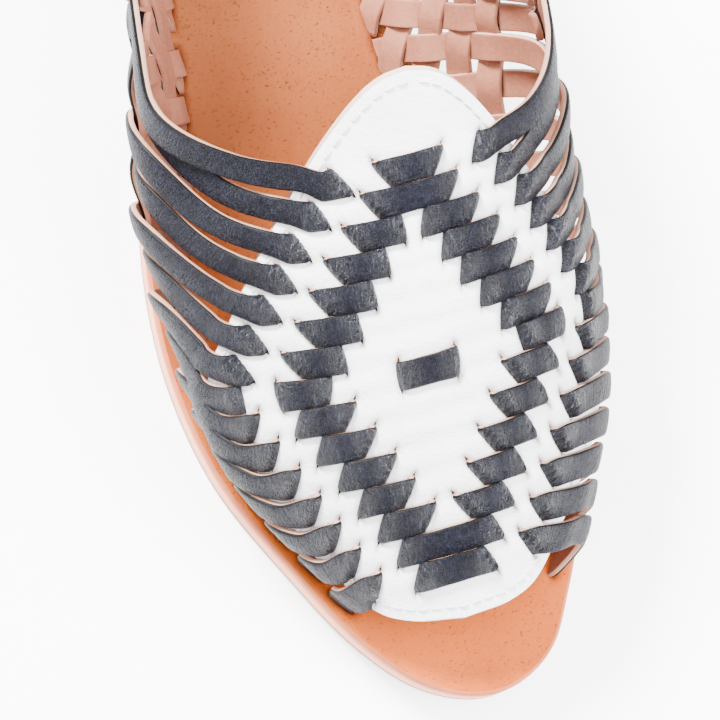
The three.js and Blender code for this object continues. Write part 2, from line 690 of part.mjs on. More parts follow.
// a layer of the sole, between two heights that depend on the station
const EDGE_STEPS = 40;
function slab(inset, low, high) {
  const { curve, tip } = edgeCurve();
  const sides = [LATERAL, MEDIAL].map((side) =>
    Array.from({ length: EDGE_STEPS + 1 }, (_, k) => {
      const t = (k / EDGE_STEPS) * (side === LATERAL ? tip : tip - 1);
      const u = (t + 1) % 1;
      const point = curve.getPoint(u);
      const tangent = curve.getTangent(u);
      return point.add(new THREE.Vector3(-tangent.y, tangent.x, 0).multiplyScalar(inset));
    })
  );
  const levels = [high, low].map((height) =>
    sides.flatMap((line) => line.map((p) => [p.x - HEEL_RADIUS, p.y, height(p.x)]))
  );
  const positions = levels.flat(2);
  const side = EDGE_STEPS + 1;
  const under = side * 2;
  const triangles = [];
  for (let k = 0; k < EDGE_STEPS; k += 1) {
    const [a, b, c, d] = [k, k + 1, side + k + 1, side + k];
    triangles.push(a, b, c, a, c, d);
    triangles.push(under + a, under + c, under + b, under + a, under + d, under + c);
    triangles.push(a, under + a, under + b, a, under + b, b);
    triangles.push(d, under + c, under + d, d, c, under + c);
  }
  return solidOf(positions, triangles);
}

function heelBlock() {
  const block = slab(HEEL_INSET, () => 0, (station) => underside(station) - FIT);
  const size = 2 * BALL_WIDTH;
  const box = new THREE.BoxGeometry(size, size, size);
  box.deleteAttribute('normal');
  box.deleteAttribute('uv');
  box.translate(HEEL_BREAST - HEEL_RADIUS - size / 2, 0, 0);
  return block.intersect(solidOf([...box.attributes.position.array], [...box.index.array]));
}

const layer = (base, thick) =>
  slab(0, (station) => underside(station) + base, (station) => underside(station) + base + thick);

const PIECES = [
  { name: 'upper', make: upper, color: 0x3a3f4c, roughness: 0.55 },
  { name: 'insole', make: () => layer(FOOTBED_BASE, FOOTBED), color: 0xd9a27a, roughness: 0.6 },
  { name: 'midsole', make: () => layer(MIDSOLE_BASE, MIDSOLE), color: 0xf4d8c6, roughness: 0.8 },
  { name: 'outsole', make: () => layer(0, OUTSOLE), color: 0xcfc4c0, roughness: 0.7 },
  { name: 'heel', make: heelBlock, color: 0xe0b898, roughness: 0.75 },
];

const sandal = new THREE.Group();
PIECES.forEach(({ name, make, color, roughness }) => {
  const material = new THREE.MeshStandardMaterial({ color, roughness, metalness: 0 });
  const mesh = new THREE.Mesh(geometryOf(make()), material);
  mesh.name = name;
  sandal.add(mesh);
});

export default sandal;
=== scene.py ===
import math
from functools import lru_cache

import bpy
import numpy as np
from mathutils import Matrix, Vector, geometry


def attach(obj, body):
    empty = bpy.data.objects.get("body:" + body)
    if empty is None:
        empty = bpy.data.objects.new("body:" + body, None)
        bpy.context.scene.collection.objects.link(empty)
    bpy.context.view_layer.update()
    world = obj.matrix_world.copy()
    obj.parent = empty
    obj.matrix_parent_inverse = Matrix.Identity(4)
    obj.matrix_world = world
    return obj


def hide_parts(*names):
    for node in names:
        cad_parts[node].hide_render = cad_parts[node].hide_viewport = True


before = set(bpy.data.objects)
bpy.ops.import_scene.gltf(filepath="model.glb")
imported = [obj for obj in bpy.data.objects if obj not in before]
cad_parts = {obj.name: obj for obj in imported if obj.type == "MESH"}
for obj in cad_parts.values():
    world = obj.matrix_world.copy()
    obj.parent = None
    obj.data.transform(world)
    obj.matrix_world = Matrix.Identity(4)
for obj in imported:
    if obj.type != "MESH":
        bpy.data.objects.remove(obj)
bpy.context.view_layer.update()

# Lengths are worked out in millimetres, in the CAD's frame, and scaled when a mesh is made.
MM = 0.001

LENGTH = 250.0
BALL_WIDTH = 90.0
INSTEP = 60.0
HEEL_RADIUS = 31.0
HEEL_LIFT = 8.0
HEEL_BREAST = 62.0
ARCH_END = 140.0
SPRING_START = 195.0
TOE_SPRING = 5.0
HEEL_INSET = 0.6

OUTSOLE = 1.5
MIDSOLE = 4.2
FOOTBED = 2.3
FIT = 0.3
SLIT_INSET = 5.0

LATERAL = -1  # the little-toe side: sides are signs along Y
MEDIAL = 1
SIDES = (LATERAL, MEDIAL)

STRAP_WIDTH = 6.0
STRAP_THICK = 1.8
PAINTED_TO = 0.25  # how far down its side a strap is painted, as a share of half its thickness
WEAVE = 0.95  # how far a strap rises and dips where it crosses another
STEP = 1.1  # between a strap's cross sections
PLATE_THICK = 2.0
ROWS = 15
FIRST_ROW = 138.8
ROW_PITCH = 5.95
ROW_SKEW = -0.069
ROW_BOW = 0.0034
PLATE_REAR = 119.7
PLATE_FRONT = 233.0
PLATE_HALF = 50.0
PLATE_POINTS = 360  # points round its edge
ON_PLATE = PLATE_THICK / 2 + STRAP_THICK / 2 + 0.05
RAMP = 1.6  # run in which a strap goes through the plate
SLOT_WIDTH = 0.6
SLOT_SPARE = 0.2  # between a strap's edge and the end of its slot
SLOT_TIP = 0.9
UNDER_SPREAD = 0.55  # how much further the plate's underside reaches at its edge
SLOT_RIM = 0.55  # how far a ring of extra points lies from each slot
STITCH_INSET = 2.3
STITCH_PITCH = 2.9
STITCH_LENGTH = 2.2
STITCH_RINGS = 7
THREAD_RADIUS = 0.26
THREAD_SIDES = 6

# Where the wall swells most: strap two's station, the pitch of the straps in front of it, and
# how far the foremost strap leans forward from there down to the footbed.
OUTER_SWELL = {LATERAL: 109.0, MEDIAL: 115.0}
SWELL_PITCH = {LATERAL: 8.74, MEDIAL: 8.0}
FRONT_LEAN = {LATERAL: 0.0, MEDIAL: 4.5}
PAST_SLOT = 3.0  # how far past its edge slot a strap keeps to its row's line
OUTER_START = PAST_SLOT + 0.6  # where a strap's own curve takes over
PLATE_TILT = 0.4  # how far a strap's rear edge stands up on the plate
PAST_TILT = 0.45  # how much more it does past the edge slot
TILT = 1.0  # how far it does between the plate and the footbed
LOW_TILT = {LATERAL: 0.5, MEDIAL: 0.15}  # and below the swell
TILT_PATH = 150.0  # the swell's height is taken here
SLIT_DEPTH = -2.2

# The quarter's foremost steep strap at the swell, and the foremost shallow strap's slit.
SECOND_SWELL = {LATERAL: 103.0, MEDIAL: 115.0}
CROSS_FRONT = {LATERAL: 157.0, MEDIAL: 150.0}
QUARTER_PITCH = 9.0
STEEP_LEAN = 0.36  # run over rise
SHALLOW_LEAN = 1.5
COLLAR_BACK = 54.0
COLLAR_LIFT = 1.75
COLLAR_FLARE = {LATERAL: 1.7, MEDIAL: 1.3}  # how far the collar's upper edge stands out
COLLAR_SLANT = 1.3  # of the collar's slot on the little-toe side, times the other rows'

# along, lateral and medial, as shares of LENGTH and BALL_WIDTH
EDGE = [
    (0.124, 0.344, 0.344), (0.24, 0.338, 0.325), (0.36, 0.355, 0.312), (0.47, 0.415, 0.4),
    (0.57, 0.455, 0.49), (0.664, 0.452, 0.548), (0.76, 0.392, 0.552), (0.86, 0.252, 0.502),
    (0.93, 0.135, 0.415),
]
TOE = [(0.975, -0.02), (0.996, 0.09), (1.0, 0.18), (0.99, 0.27), (0.968, 0.35)]
# The last: slit insets as factors of SLIT_INSET, the swells past the slits and the ridge's
# offset as shares of BALL_WIDTH, heights as shares of INSTEP, and the ridge's tip in degrees.
# The forefoot swells less than in the CAD.
LAST_NAMES = (
    "along insetLat insetMed swellLat swellMed latUp medUp ridge ridgeUp tip".split()
)
LAST = [
    (0.124, 1.2, 1.2, 0.067, 0.07, 0.57, 0.57, 0, 1.63, 0),
    (0.24, 1.2, 1.1, 0.11, 0.145, 0.66, 0.7, 0.03, 1.46, 0),
    (0.36, 1.5, 1.1, 0.165, 0.245, 0.66, 0.73, 0.09, 1.23, 3),
    (0.47, 2, 1.6, 0.18, 0.25, 0.55, 0.6, 0.125, 1, 6),
    (0.56, 1.6, 1.6, 0.133, 0.205, 0.4, 0.45, 0.103, 0.86, 9),
    (0.664, 1.2, 1.3, 0.072, 0.14, 0.28, 0.32, 0.08, 0.735, 9),
    (0.76, 1, 1.1, 0.044, 0.08, 0.22, 0.25, 0.075, 0.6, 8),
    (0.86, 0.9, 1, 0.012, 0.037, 0.165, 0.185, 0.075, 0.42, 6),
    (0.95, 0.8, 1, 0.0, 0.012, 0.11, 0.13, 0.09, 0.26, 4),
]
# each strap's slots from the crown's ridge: edge slot, band's outer and inner end
SLOTS = [
    (15, 5.8, 0), (20, 8.8, 0), (24.7, 13.2, 2.6), (28.3, 17.6, 6.6), (32.2, 21.3, 10.2),
    (36, 25, 14.1), (39.8, 28.8, 18.2), (41.4, 32.6, 22), (39.1, 28.8, 18.4), (35.6, 25, 14.8),
    (31.8, 21, 11.2), (28.1, 17.5, 7.8), (24.6, 13.9, 4), (21, 10.5, 0), (17.3, 7.8, 0),
]
MIDDLE_ROW = 8
HEART_HALF = 6.2
# half of the plate's width, as a share of PLATE_HALF, from its rear to its front
PLATE = [
    (0, 0), (0.007, 0.1), (0.03, 0.205), (0.095, 0.37), (0.18, 0.53), (0.36, 0.82),
    (0.48, 0.99), (0.58, 0.97), (0.72, 0.8), (0.87, 0.53), (0.955, 0.36), (0.988, 0.2), (1, 0),
]
# the collar where it leaves the crown, by distance from the ridge, then by height up the wall
COLLAR = {LATERAL: [(131, 37.5), (117, 55.5)], MEDIAL: [(130, 29.5), (117, 38.2)]}
TOPLINE = {
    LATERAL: [(100, 48), (75, 50), (45, 52)],
    MEDIAL: [(100, 56), (75, 54.5), (45, 54)],
}
# how far a slot's front end lies further out than its rear end, by side and place
SLANT = {
    (LATERAL, "edge"): (-4.0, 2.8), (LATERAL, "out"): (-4.4, 3.0), (LATERAL, "in"): (-1.2, 3.6),
    (MEDIAL, "edge"): (-1.8, 3.0), (MEDIAL, "out"): (-2.6, 3.2), (MEDIAL, "in"): (-1.5, 4.0),
}
# each layer's rim from its underside to its top: inset, and height over its base
FOOTBED_RIM = [
    (0.35, 0), (0.05, 0.25), (0, 0.7), (0, FOOTBED - 0.8), (0.12, FOOTBED - 0.35),
    (0.4, FOOTBED - 0.08), (0.8, FOOTBED),
]
MIDSOLE_RIM = [(0.3, 0), (0, 0.3), (0.12, 1.4), (0, 2.6), (0.05, MIDSOLE - 0.3), (0.35, MIDSOLE)]
OUTSOLE_RIM = [(0.5, 0), (0.1, 0.25), (0, 0.6), (0.05, OUTSOLE - 0.2), (0.3, OUTSOLE)]
HEEL_TOP = HEEL_LIFT - FIT
HEEL_RIM = [(0.5, 0), (0.1, 0.3), (0, 0.8), (0, HEEL_TOP - 0.6), (0.3, HEEL_TOP - 0.02)]
FOOTBED_PITCH = 1.5  # between the points that fill a layer's top
LAYER_PITCH = 8.0
UNDERSIDE_PITCH = 9.0
SLIT_SINK = 0.9  # how deep the footbed is pressed in at a slit
SLIT_LIP = 0.16
PLAIN_SHADE = 0.34  # the footbed's mark away from its slits
SHADED_FROM = 0.36
# places of the extra points round each slit, along and across it
SLIT_ALONG = np.arange(-4.5, 4.6, 0.9)
SLIT_ACROSS = (-2.6, -1.7, -1.0, -0.45, 0, 0.45, 1.0, 1.7, 2.6)


def cubic(table, col, x):
    """A column's value at x, on a cubic that never overshoots."""
    last = len(table) - 1
    if x <= table[0][0]:
        return table[0][col]
    if x >= table[last][0]:
        return table[last][col]
    i = 0
    while x > table[i + 1][0]:
        i += 1

    def rise(k):
        return (table[k + 1][col] - table[k][col]) / (table[k + 1][0] - table[k][0])

    def slope(k):
        if k == 0:
            return rise(0)
        if k == last:
            return rise(last - 1)
        before, after = rise(k - 1), rise(k)
        return 2 * before * after / (before + after) if before * after > 0 else 0

    width = table[i + 1][0] - table[i][0]
    t = (x - table[i][0]) / width
    return (
        table[i][col] * (2 * t**3 - 3 * t**2 + 1)
        + table[i + 1][col] * (3 * t**2 - 2 * t**3)
        + width * (slope(i) * (t**3 - 2 * t**2 + t) + slope(i + 1) * (t**3 - t**2))
    )


def underside(station):
    s = np.asarray(station, float)
    t = np.clip((s - HEEL_BREAST) / (ARCH_END - HEEL_BREAST), 0, 1)
    u = np.maximum(0, (s - SPRING_START) / (LENGTH - SPRING_START))
    return np.where(s < ARCH_END, HEEL_LIFT * (1 - t * t * (3 - 2 * t)), TOE_SPRING * u * u)


MIDSOLE_BASE = OUTSOLE + FIT
FOOTBED_BASE = MIDSOLE_BASE + MIDSOLE + FIT
SOLE_THICK = FOOTBED_BASE + FOOTBED
HEEL_ARC = (HEEL_RADIUS - SLIT_INSET) * math.pi / 2
ROUND = 0.56  # handle of a curve that rounds off like an ellipse
SLIT_HANDLE = 0.45
SLIT_RISE = 0.3
HALF_STEPS = 20


def path_at(station):
    return station - HEEL_RADIUS + HEEL_ARC


def station_at(path):
    return max(path - HEEL_ARC, 0) + HEEL_RADIUS


def sole_edge(side, station):
    return cubic(EDGE, 1 if side == LATERAL else 2, station / LENGTH) * BALL_WIDTH


def look(name, station):
    return cubic(LAST, LAST_NAMES.index(name), station / LENGTH)


def bezier(a, b, c, d, t):
    s = 1 - t
    return a * s**3 + 3 * b * s * s * t + 3 * c * s * t * t + d * t**3


def lengths_of(points):
    return np.concatenate([[0], np.cumsum(np.linalg.norm(np.diff(points, axis=0), axis=1))])


def points_at(points, lengths, at):
    return np.stack([np.interp(at, lengths, column) for column in points.T], -1)


def unit(vectors):
    return vectors / np.maximum(np.linalg.norm(vectors, axis=-1, keepdims=True), 1e-9)


def left_of(ahead):
    return np.stack([-ahead[..., 1], ahead[..., 0]], -1)


def cross_of(a, b):
    return a[..., 0] * b[..., 1] - a[..., 1] * b[..., 0]


def bell(x, width):
    return np.exp(-((x / width) ** 2))


@lru_cache(maxsize=None)
def half(side, path):
    """One half section of the last: points out and up from the slit to the ridge, and lengths."""
    station = station_at(path)
    short = "Lat" if side == LATERAL else "Med"
    slit = sole_edge(side, station) - SLIT_INSET * look("inset" + short, station)
    swell = slit + BALL_WIDTH * look("swell" + short, station)
    swell_up = INSTEP * look("latUp" if side == LATERAL else "medUp", station)
    ridge = side * BALL_WIDTH * look("ridge", station)
    ridge_up = INSTEP * look("ridgeUp", station)
    tip = math.radians(look("tip", station)) * side
    reach = (swell - ridge) * ROUND
    t = np.linspace(0, 1, HALF_STEPS + 1)
    low_out = bezier(slit, slit + (swell - slit) * SLIT_HANDLE, swell, swell, t)
    low_up = bezier(0, swell_up * SLIT_RISE, swell_up * (1 - SLIT_HANDLE), swell_up, t)
    top_out = bezier(swell, swell, ridge + reach * math.cos(tip), ridge, t)
    steep_to = swell_up + (ridge_up - swell_up) * ROUND
    top_up = bezier(swell_up, steep_to, ridge_up + reach * math.sin(tip), ridge_up, t)
    out = np.concatenate([low_out, top_out[1:]])
    up = np.concatenate([low_up, top_up[1:]])
    lengths = np.concatenate([[0], np.cumsum(np.hypot(np.diff(out), np.diff(up)))])
    return out, up, lengths, lengths[HALF_STEPS]


def girth_of(side, path):
    return half(side, round(path, 2))[2][-1]


def swell_height(side, path):
    """Length along the wall from its slit to where it swells most."""
    return half(side, round(path, 2))[3]


# The last's skin as a fine table: place by signed path and height along the wall.
PATH_LOW, PATH_HIGH, UP_LOW, UP_HIGH = -266.0, 266.0, -8.0, 215.0
PATHS = np.arange(PATH_LOW, PATH_HIGH + 0.5, 1.0)
UPS = np.arange(UP_LOW, UP_HIGH + 0.5, 1.0)


def along_half(side, path, ups):
    out, up, lengths, _ = half(side, round(path, 2))
    first = lengths[1] - lengths[0]
    o = np.interp(ups, lengths, out)
    h = np.interp(ups, lengths, up)
    below = ups < 0
    o = np.where(below, out[0] + (out[1] - out[0]) * ups / first, o)
    h = np.where(below, up[0] + (up[1] - up[0]) * ups / first, h)
    turn = min(path / HEEL_ARC, 1) * math.pi / 2
    station = station_at(path)
    floor = float(underside(station)) + SOLE_THICK
    return np.stack(
        [station - o * math.cos(turn) - HEEL_RADIUS, side * o * math.sin(turn), floor + h], -1
    )


def skin_column(path):
    side = LATERAL if path < 0 else MEDIAL
    near, far = girth_of(side, abs(path)), girth_of(-side, abs(path))
    own = along_half(side, abs(path), np.minimum(UPS, near))
    other = along_half(-side, abs(path), np.clip(far - (UPS - near), UP_LOW, far))
    return np.where((UPS <= near)[:, None], own, other)


SKIN = np.array([skin_column(p) for p in PATHS])
NORMAL = unit(np.cross(np.gradient(SKIN, axis=1), np.gradient(SKIN, axis=0)))


def lookup(table, path, up):
    x = np.clip((np.asarray(path, float) - PATH_LOW), 0, len(PATHS) - 1.001)
    y = np.clip((np.asarray(up, float) - UP_LOW), 0, len(UPS) - 1.001)
    i, j = x.astype(int), y.astype(int)
    u, v = (x - i)[..., None], (y - j)[..., None]
    return (
        table[i, j] * (1 - u) * (1 - v) + table[i + 1, j] * u * (1 - v)
        + table[i, j + 1] * (1 - u) * v + table[i + 1, j + 1] * u * v
    )


def skin(path, up, lift=0.0):
    """Points of the wall, each at its lift off the middle."""
    normal = unit(lookup(NORMAL, path, up))
    return lookup(SKIN, path, up) + normal * np.asarray(lift, float)[..., None]


STATIONS = np.arange(31.0, 251.0, 1.0)
GIRTHS = {
    side: np.array([girth_of(side, path_at(s)) for s in STATIONS]) for side in SIDES
}


def crown(station, girth):
    """Path and height of a place by station and signed distance from the ridge."""
    station, girth = np.asarray(station, float), np.asarray(girth, float)
    total = np.where(
        girth < 0,
        np.interp(station, STATIONS, GIRTHS[LATERAL]),
        np.interp(station, STATIONS, GIRTHS[MEDIAL]),
    )
    side = np.where(girth < 0, LATERAL, MEDIAL)
    return side * path_at(station), total - np.abs(girth)


def crown_knot(station, girth):
    return tuple(float(v) for v in crown(station, girth))


def over_crown(station, girth):
    """The same place, by path and height up the little-toe side even past the ridge."""
    return -path_at(station), np.interp(station, STATIONS, GIRTHS[LATERAL]) + girth


def row_station(row, girth):
    return FIRST_ROW + ROW_PITCH * (row - 1) + ROW_SKEW * girth - ROW_BOW * girth * girth


def smooth_step(x):
    t = np.clip(x, 0, 1)
    return t * t * (3 - 2 * t)


def catmull(points, closed, count):
    """A smooth curve through points, evenly spaced along its length."""
    p = np.asarray(points, float)
    n = len(p)
    fine = []
    for i in range(n if closed else n - 1):
        p1, p2 = p[i], p[(i + 1) % n]
        p0 = p[i - 1] if closed or i > 0 else 2 * p1 - p2
        p3 = p[(i + 2) % n] if closed or i + 2 < n else 2 * p2 - p1
        d0, d1, d2 = (max(np.linalg.norm(b - a) ** 0.5, 1e-4) for a, b in ((p0, p1), (p1, p2), (p2, p3)))
        t1 = ((p1 - p0) / d0 - (p2 - p0) / (d0 + d1) + (p2 - p1) / d1) * d1
        t2 = ((p2 - p1) / d1 - (p3 - p1) / (d1 + d2) + (p3 - p2) / d2) * d1
        t = np.linspace(0, 1, 24, endpoint=False)[:, None]
        fine.append(
            p1 * (2 * t**3 - 3 * t**2 + 1) + t1 * (t**3 - 2 * t**2 + t)
            + p2 * (3 * t**2 - 2 * t**3) + t2 * (t**3 - t**2)
        )
    fine = np.concatenate(fine + [p[:1] if closed else p[-1:]])
    length = lengths_of(fine)
    return points_at(fine, length, np.linspace(0, length[-1], count, endpoint=not closed))


def resample(points, step):
    """A line at even steps, and each point's length along it."""
    length = lengths_of(points)
    at = np.linspace(0, length[-1], max(4, int(round(length[-1] / step)) + 1))
    return points_at(points, length, at), at


def shut(loop):
    return np.concatenate([loop, loop[:1]])


def inset(loop, by):
    """The loop moved inwards, or outwards by a negative distance."""
    ahead = unit(np.roll(loop, -1, axis=0) - np.roll(loop, 1, axis=0))
    area = np.sum(loop[:, 0] * np.roll(loop[:, 1], -1) - np.roll(loop[:, 0], -1) * loop[:, 1])
    return loop + left_of(ahead) * by * np.sign(area)


def tube(rows, sides):
    """Faces between closed rings of points."""
    faces = []
    for k in range(rows - 1):
        for c in range(sides):
            d = (c + 1) % sides
            faces.append([k * sides + c, (k + 1) * sides + c, (k + 1) * sides + d, k * sides + d])
    return faces


def add_object(name, data):
    thing = bpy.data.objects.new(name, data)
    bpy.context.collection.objects.link(thing)
    return thing


class Pile:
    """Vertices and faces of one mesh, with a material number for each face."""

    def __init__(self):
        self.points, self.faces, self.slots, self.uvs, self.marks = [], [], [], [], []
        self.count = 0

    def add(self, points, faces, slots, uv=None, mark=None):
        points = np.asarray(points, float)
        self.points.append(points)
        self.faces += [[int(i) + self.count for i in face] for face in faces]
        self.slots += list(slots)
        self.uvs.append(np.zeros((len(points), 2)) if uv is None else np.asarray(uv, float))
        self.marks.append(np.zeros(len(points)) if mark is None else np.asarray(mark, float))
        self.count += len(points)

    def make(self, name, materials, replaces="upper"):
        mesh = bpy.data.meshes.new(name)
        mesh.from_pydata((np.concatenate(self.points) * MM).tolist(), [], self.faces)
        for material in materials:
            mesh.materials.append(material)
        mesh.polygons.foreach_set("material_index", self.slots)
        mesh.polygons.foreach_set("use_smooth", [True] * len(self.faces))
        loops = np.zeros(len(mesh.loops), int)
        mesh.loops.foreach_get("vertex_index", loops)
        layer = mesh.uv_layers.new(name="along")
        layer.data.foreach_set("uv", np.concatenate(self.uvs)[loops].ravel())
        mark = mesh.attributes.new("mark", "FLOAT", "POINT")
        mark.data.foreach_set("value", np.concatenate(self.marks))
        mesh.update()
        piece = add_object(name, mesh)
        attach(piece, "root")
        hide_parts(replaces)


# across a strap, as shares of its half width, with the heights of its top and underside there,
# as shares of half its thickness
ACROSS = np.array([-1, -0.91, -0.78, -0.45, 0, 0.45, 0.78, 0.91, 1])
TOP = np.array([0.5, 0.88, 1.02, 1.06, 1.08, 1.06, 1.02, 0.88, 0.5])
BOTTOM = np.array([0.92, 1, 1, 1, 1, 1, 1, 1, 0.92])
MIDDLE = len(ACROSS) // 2
# the numbers of a strap's materials
LEATHER, PAINTED, FLESH, RAW = range(4)


def ribbon(pile, middle, along, mark, side=RAW):
    """A strap from a grid of middle points: first index along it, second across it."""
    n, m = middle.shape[:2]
    normal = unit(np.cross(np.gradient(middle, axis=0), np.gradient(middle, axis=1)))
    top = middle + normal * (TOP * STRAP_THICK / 2)[None, :, None]
    bottom = middle - normal * (BOTTOM * STRAP_THICK / 2)[None, :, None]
    line = middle + normal * PAINTED_TO * STRAP_THICK / 2
    ring = np.concatenate([top, line[:, -1:], bottom[:, ::-1], line[:, :1]], axis=1)
    size = ring.shape[1]
    of_column = [LEATHER] * (m - 1) + [PAINTED, side] + [FLESH] * (m - 1) + [side, PAINTED]
    of_column[0] = of_column[m - 2] = PAINTED
    ends = [list(range(size)), list(range((n - 1) * size, n * size))[::-1]]
    slots = of_column * (n - 1) + [side] * len(ends)
    width = np.concatenate([ACROSS, [1], ACROSS[::-1], [-1]])
    uv = np.stack(np.broadcast_arrays(along[:, None] / 10, width[None, :]), -1).reshape(-1, 2)
    pile.add(ring.reshape(-1, 3), tube(n, size) + ends, slots, uv, np.repeat(mark, size))


def in_polygon(points, loop):
    x, y = points[:, 0], points[:, 1]
    inside = np.zeros(len(points), bool)
    for (x1, y1), (x2, y2) in zip(loop, np.roll(loop, -1, axis=0)):
        if y1 == y2:
            continue
        crosses = (y1 > y) != (y2 > y)
        inside ^= crosses & (x < (x2 - x1) * (y - y1) / (y2 - y1) + x1)
    return inside


def within(points, loop, holes):
    """Which points lie inside a loop and outside its holes."""
    inside = in_polygon(points, loop)
    for hole in holes:
        inside &= ~in_polygon(points, hole)
    return inside


def fill(loop, holes, extra):
    """Triangles over a loop with holes in it, using extra points inside."""
    points, edges = [], []
    for ring in [loop, *holes]:
        start = len(points)
        points += [Vector(p) for p in ring]
        edges += [(start + i, start + (i + 1) % len(ring)) for i in range(len(ring))]
    points += [Vector(p) for p in extra[within(extra, loop, holes)]]
    verts, _, tris, *_ = geometry.delaunay_2d_cdt(points, edges, [], 0, 1e-6)
    verts = np.array([tuple(v) for v in verts])
    tris = np.array([t for t in tris if len(t) == 3])
    return verts, tris[within(verts[tris].mean(axis=1), loop, holes)]


def wander(seed, x, size):
    """A smooth small wobble, the same on every run."""
    a = np.sin(x * 0.11 + seed * 2.3) + 0.6 * np.sin(x * 0.29 + seed * 5.1)
    return size * a / 1.6


class Nodes:
    """Short calls that add shader nodes and links."""

    def __init__(self, name):
        self.material = bpy.data.materials.new(name)
        self.material.use_nodes = True
        self.tree = self.material.node_tree
        self.shader = self.tree.nodes["Principled BSDF"]
        self.here = self.place("Object")

    def feed(self, socket, value):
        """Links another node's output to a socket, or sets the socket's own value."""
        if isinstance(value, bpy.types.NodeSocket):
            self.tree.links.new(value, socket)
        elif socket.type == "RGBA" and len(value) == 3:
            socket.default_value = (*value, 1)
        else:
            socket.default_value = value

    def node(self, kind, **values):
        node = self.tree.nodes.new("ShaderNode" + kind)
        for key, value in values.items():
            if key in node.inputs:
                self.feed(node.inputs[key], value)
            else:
                setattr(node, key, value)
        return node

    def place(self, kind, scale=(1, 1, 1)):
        source = self.node("TexCoord").outputs[kind]
        return self.node("Mapping", Vector=source, Scale=scale).outputs[0]

    def noise(self, scale, detail, rough=0.5, place=None):
        place = self.here if place is None else place
        node = self.node("TexNoise", Vector=place, Scale=scale, Detail=detail, Roughness=rough)
        return node.outputs["Fac"]

    def cells(self, scale):
        node = self.node("TexVoronoi", feature="DISTANCE_TO_EDGE", Vector=self.here, Scale=scale)
        return node.outputs["Distance"]

    def ramp(self, value, *stops):
        node = self.node("ValToRGB", Fac=value)
        elements = node.color_ramp.elements
        while len(elements) < len(stops):
            elements.new(0.5)
        for element, (at, colour) in zip(elements, stops):
            element.position = at
            element.color = (*colour, 1)
        return node.outputs["Color"]

    def grey(self, value, low, high, at=(0, 1)):
        reach = {"From Min": at[0], "From Max": at[1], "To Min": low, "To Max": high}
        return self.node("MapRange", Value=value, **reach).outputs[0]

    def math(self, operation, a, b):
        node = self.node("Math", operation=operation)
        self.feed(node.inputs[0], a)
        self.feed(node.inputs[1], b)
        return node.outputs[0]

    def blend(self, factor, a, b, mode="MIX"):
        node = self.node("Mix", data_type="RGBA", blend_type=mode)
        for index, value in ((0, factor), (6, a), (7, b)):
            self.feed(node.inputs[index], value)
        return node.outputs[2]

    def tint(self, colour, by):
        return self.blend(1.0, colour, by, "MULTIPLY")

    def mark(self):
        return self.node("Attribute", attribute_name="mark").outputs["Fac"]

    def bump(self, height, strength, distance, under=None):
        values = {"Height": height, "Strength": strength, "Distance": distance}
        if under is not None:
            values["Normal"] = under
        return self.node("Bump", **values).outputs[0]

    def finish(self, colour, roughness, normal=None, **others):
        values = {"Base_Color": colour, "Roughness": roughness, **others}
        if normal is not None:
            values["Normal"] = normal
        for name, value in values.items():
            self.feed(self.shader.inputs[name.replace("_", " ")], value)
        return self.material


def navy_leather():
    n = Nodes("navy_leather")
    grain = n.cells(1500)
    soft = n.noise(650, 4, 0.6)
    patch = n.noise(60, 3)
    creases = n.noise(3.2, 5, 0.62, n.place("UV", (5.5, 0.32, 1)))
    near = n.mark()
    # painted highlight: the creases by the slots are lightened, where the bent leather catches the light
    crease_glint = n.math("MULTIPLY", near, n.grey(creases, 0, 1, (0.57, 0.64)))
    base = n.ramp(patch, (0.3, (0.0038, 0.004, 0.0082)), (0.72, (0.0072, 0.0076, 0.0146)))
    speck = n.ramp(soft, (0.36, (0.5, 0.5, 0.52)), (0.64, (1.7, 1.7, 1.7)))
    pores = n.grey(grain, 0, 1, (0.0, 0.16))
    pores = n.ramp(pores, (0.1, (0.82, 0.82, 0.84)), (0.7, (1.04, 1.04, 1.04)))
    colour = n.tint(n.tint(base, speck), pores)
    # the painted highlight is blended in as a lighter colour on those creases
    colour = n.blend(n.math("MULTIPLY", crease_glint, 0.75), colour, (0.085, 0.09, 0.11))
    relief = n.math("ADD", n.grey(grain, 0, 1, (0, 0.2)), n.math("MULTIPLY", soft, 1.2))
    folds = n.math("MULTIPLY", creases, n.grey(near, 0.2, 1))
    normal = n.bump(folds, 1.0, 0.005, n.bump(relief, 1.0, 0.0004))
    shine = n.math("ADD", 0.1, n.math("MULTIPLY", near, 0.34))
    return n.finish(colour, n.grey(near, 0.42, 0.3), normal, Specular_IOR_Level=shine)


def painted_edge():
    n = Nodes("painted_edge")
    soft = n.noise(300, 3)
    colour = n.ramp(soft, (0.35, (0.0015, 0.0013, 0.0013)), (0.7, (0.004, 0.0035, 0.0035)))
    return n.finish(colour, 0.5, n.bump(soft, 0.3, 0.0002), Specular_IOR_Level=0.1)


def flesh_leather():
    n = Nodes("flesh_side")
    fibre = n.noise(900, 5, 0.7)
    patch = n.noise(90, 3)
    base = n.ramp(patch, (0.3, (0.21, 0.068, 0.034)), (0.7, (0.28, 0.1, 0.055)))
    colour = n.blend(n.grey(fibre, 0, 0.35, (0.45, 0.8)), base, (0.38, 0.18, 0.11))
    return n.finish(colour, 0.78, n.bump(fibre, 0.5, 0.0003))


def white_leather():
    n = Nodes("white_leather")
    grain = n.cells(1100)
    soft = n.noise(190, 4, 0.6)
    patch = n.noise(40, 3)
    base = n.ramp(patch, (0.3, (0.76, 0.765, 0.785)), (0.7, (0.86, 0.865, 0.875)))
    # painted shadow: the white leather is darker right round each slot, where the straps go through
    slot_shadow = n.ramp(n.mark(), (0.0, (1, 1, 1)), (0.45, (0.9, 0.89, 0.89)), (1.0, (0.5, 0.46, 0.45)))
    normal = n.bump(soft, 0.5, 0.0011, n.bump(n.grey(grain, 0, 1, (0, 0.25)), 0.3, 0.00016))
    roughness = n.grey(soft, 0.4, 0.55, (0.3, 0.7))
    return n.finish(n.tint(base, slot_shadow), roughness, normal, Specular_IOR_Level=0.25)


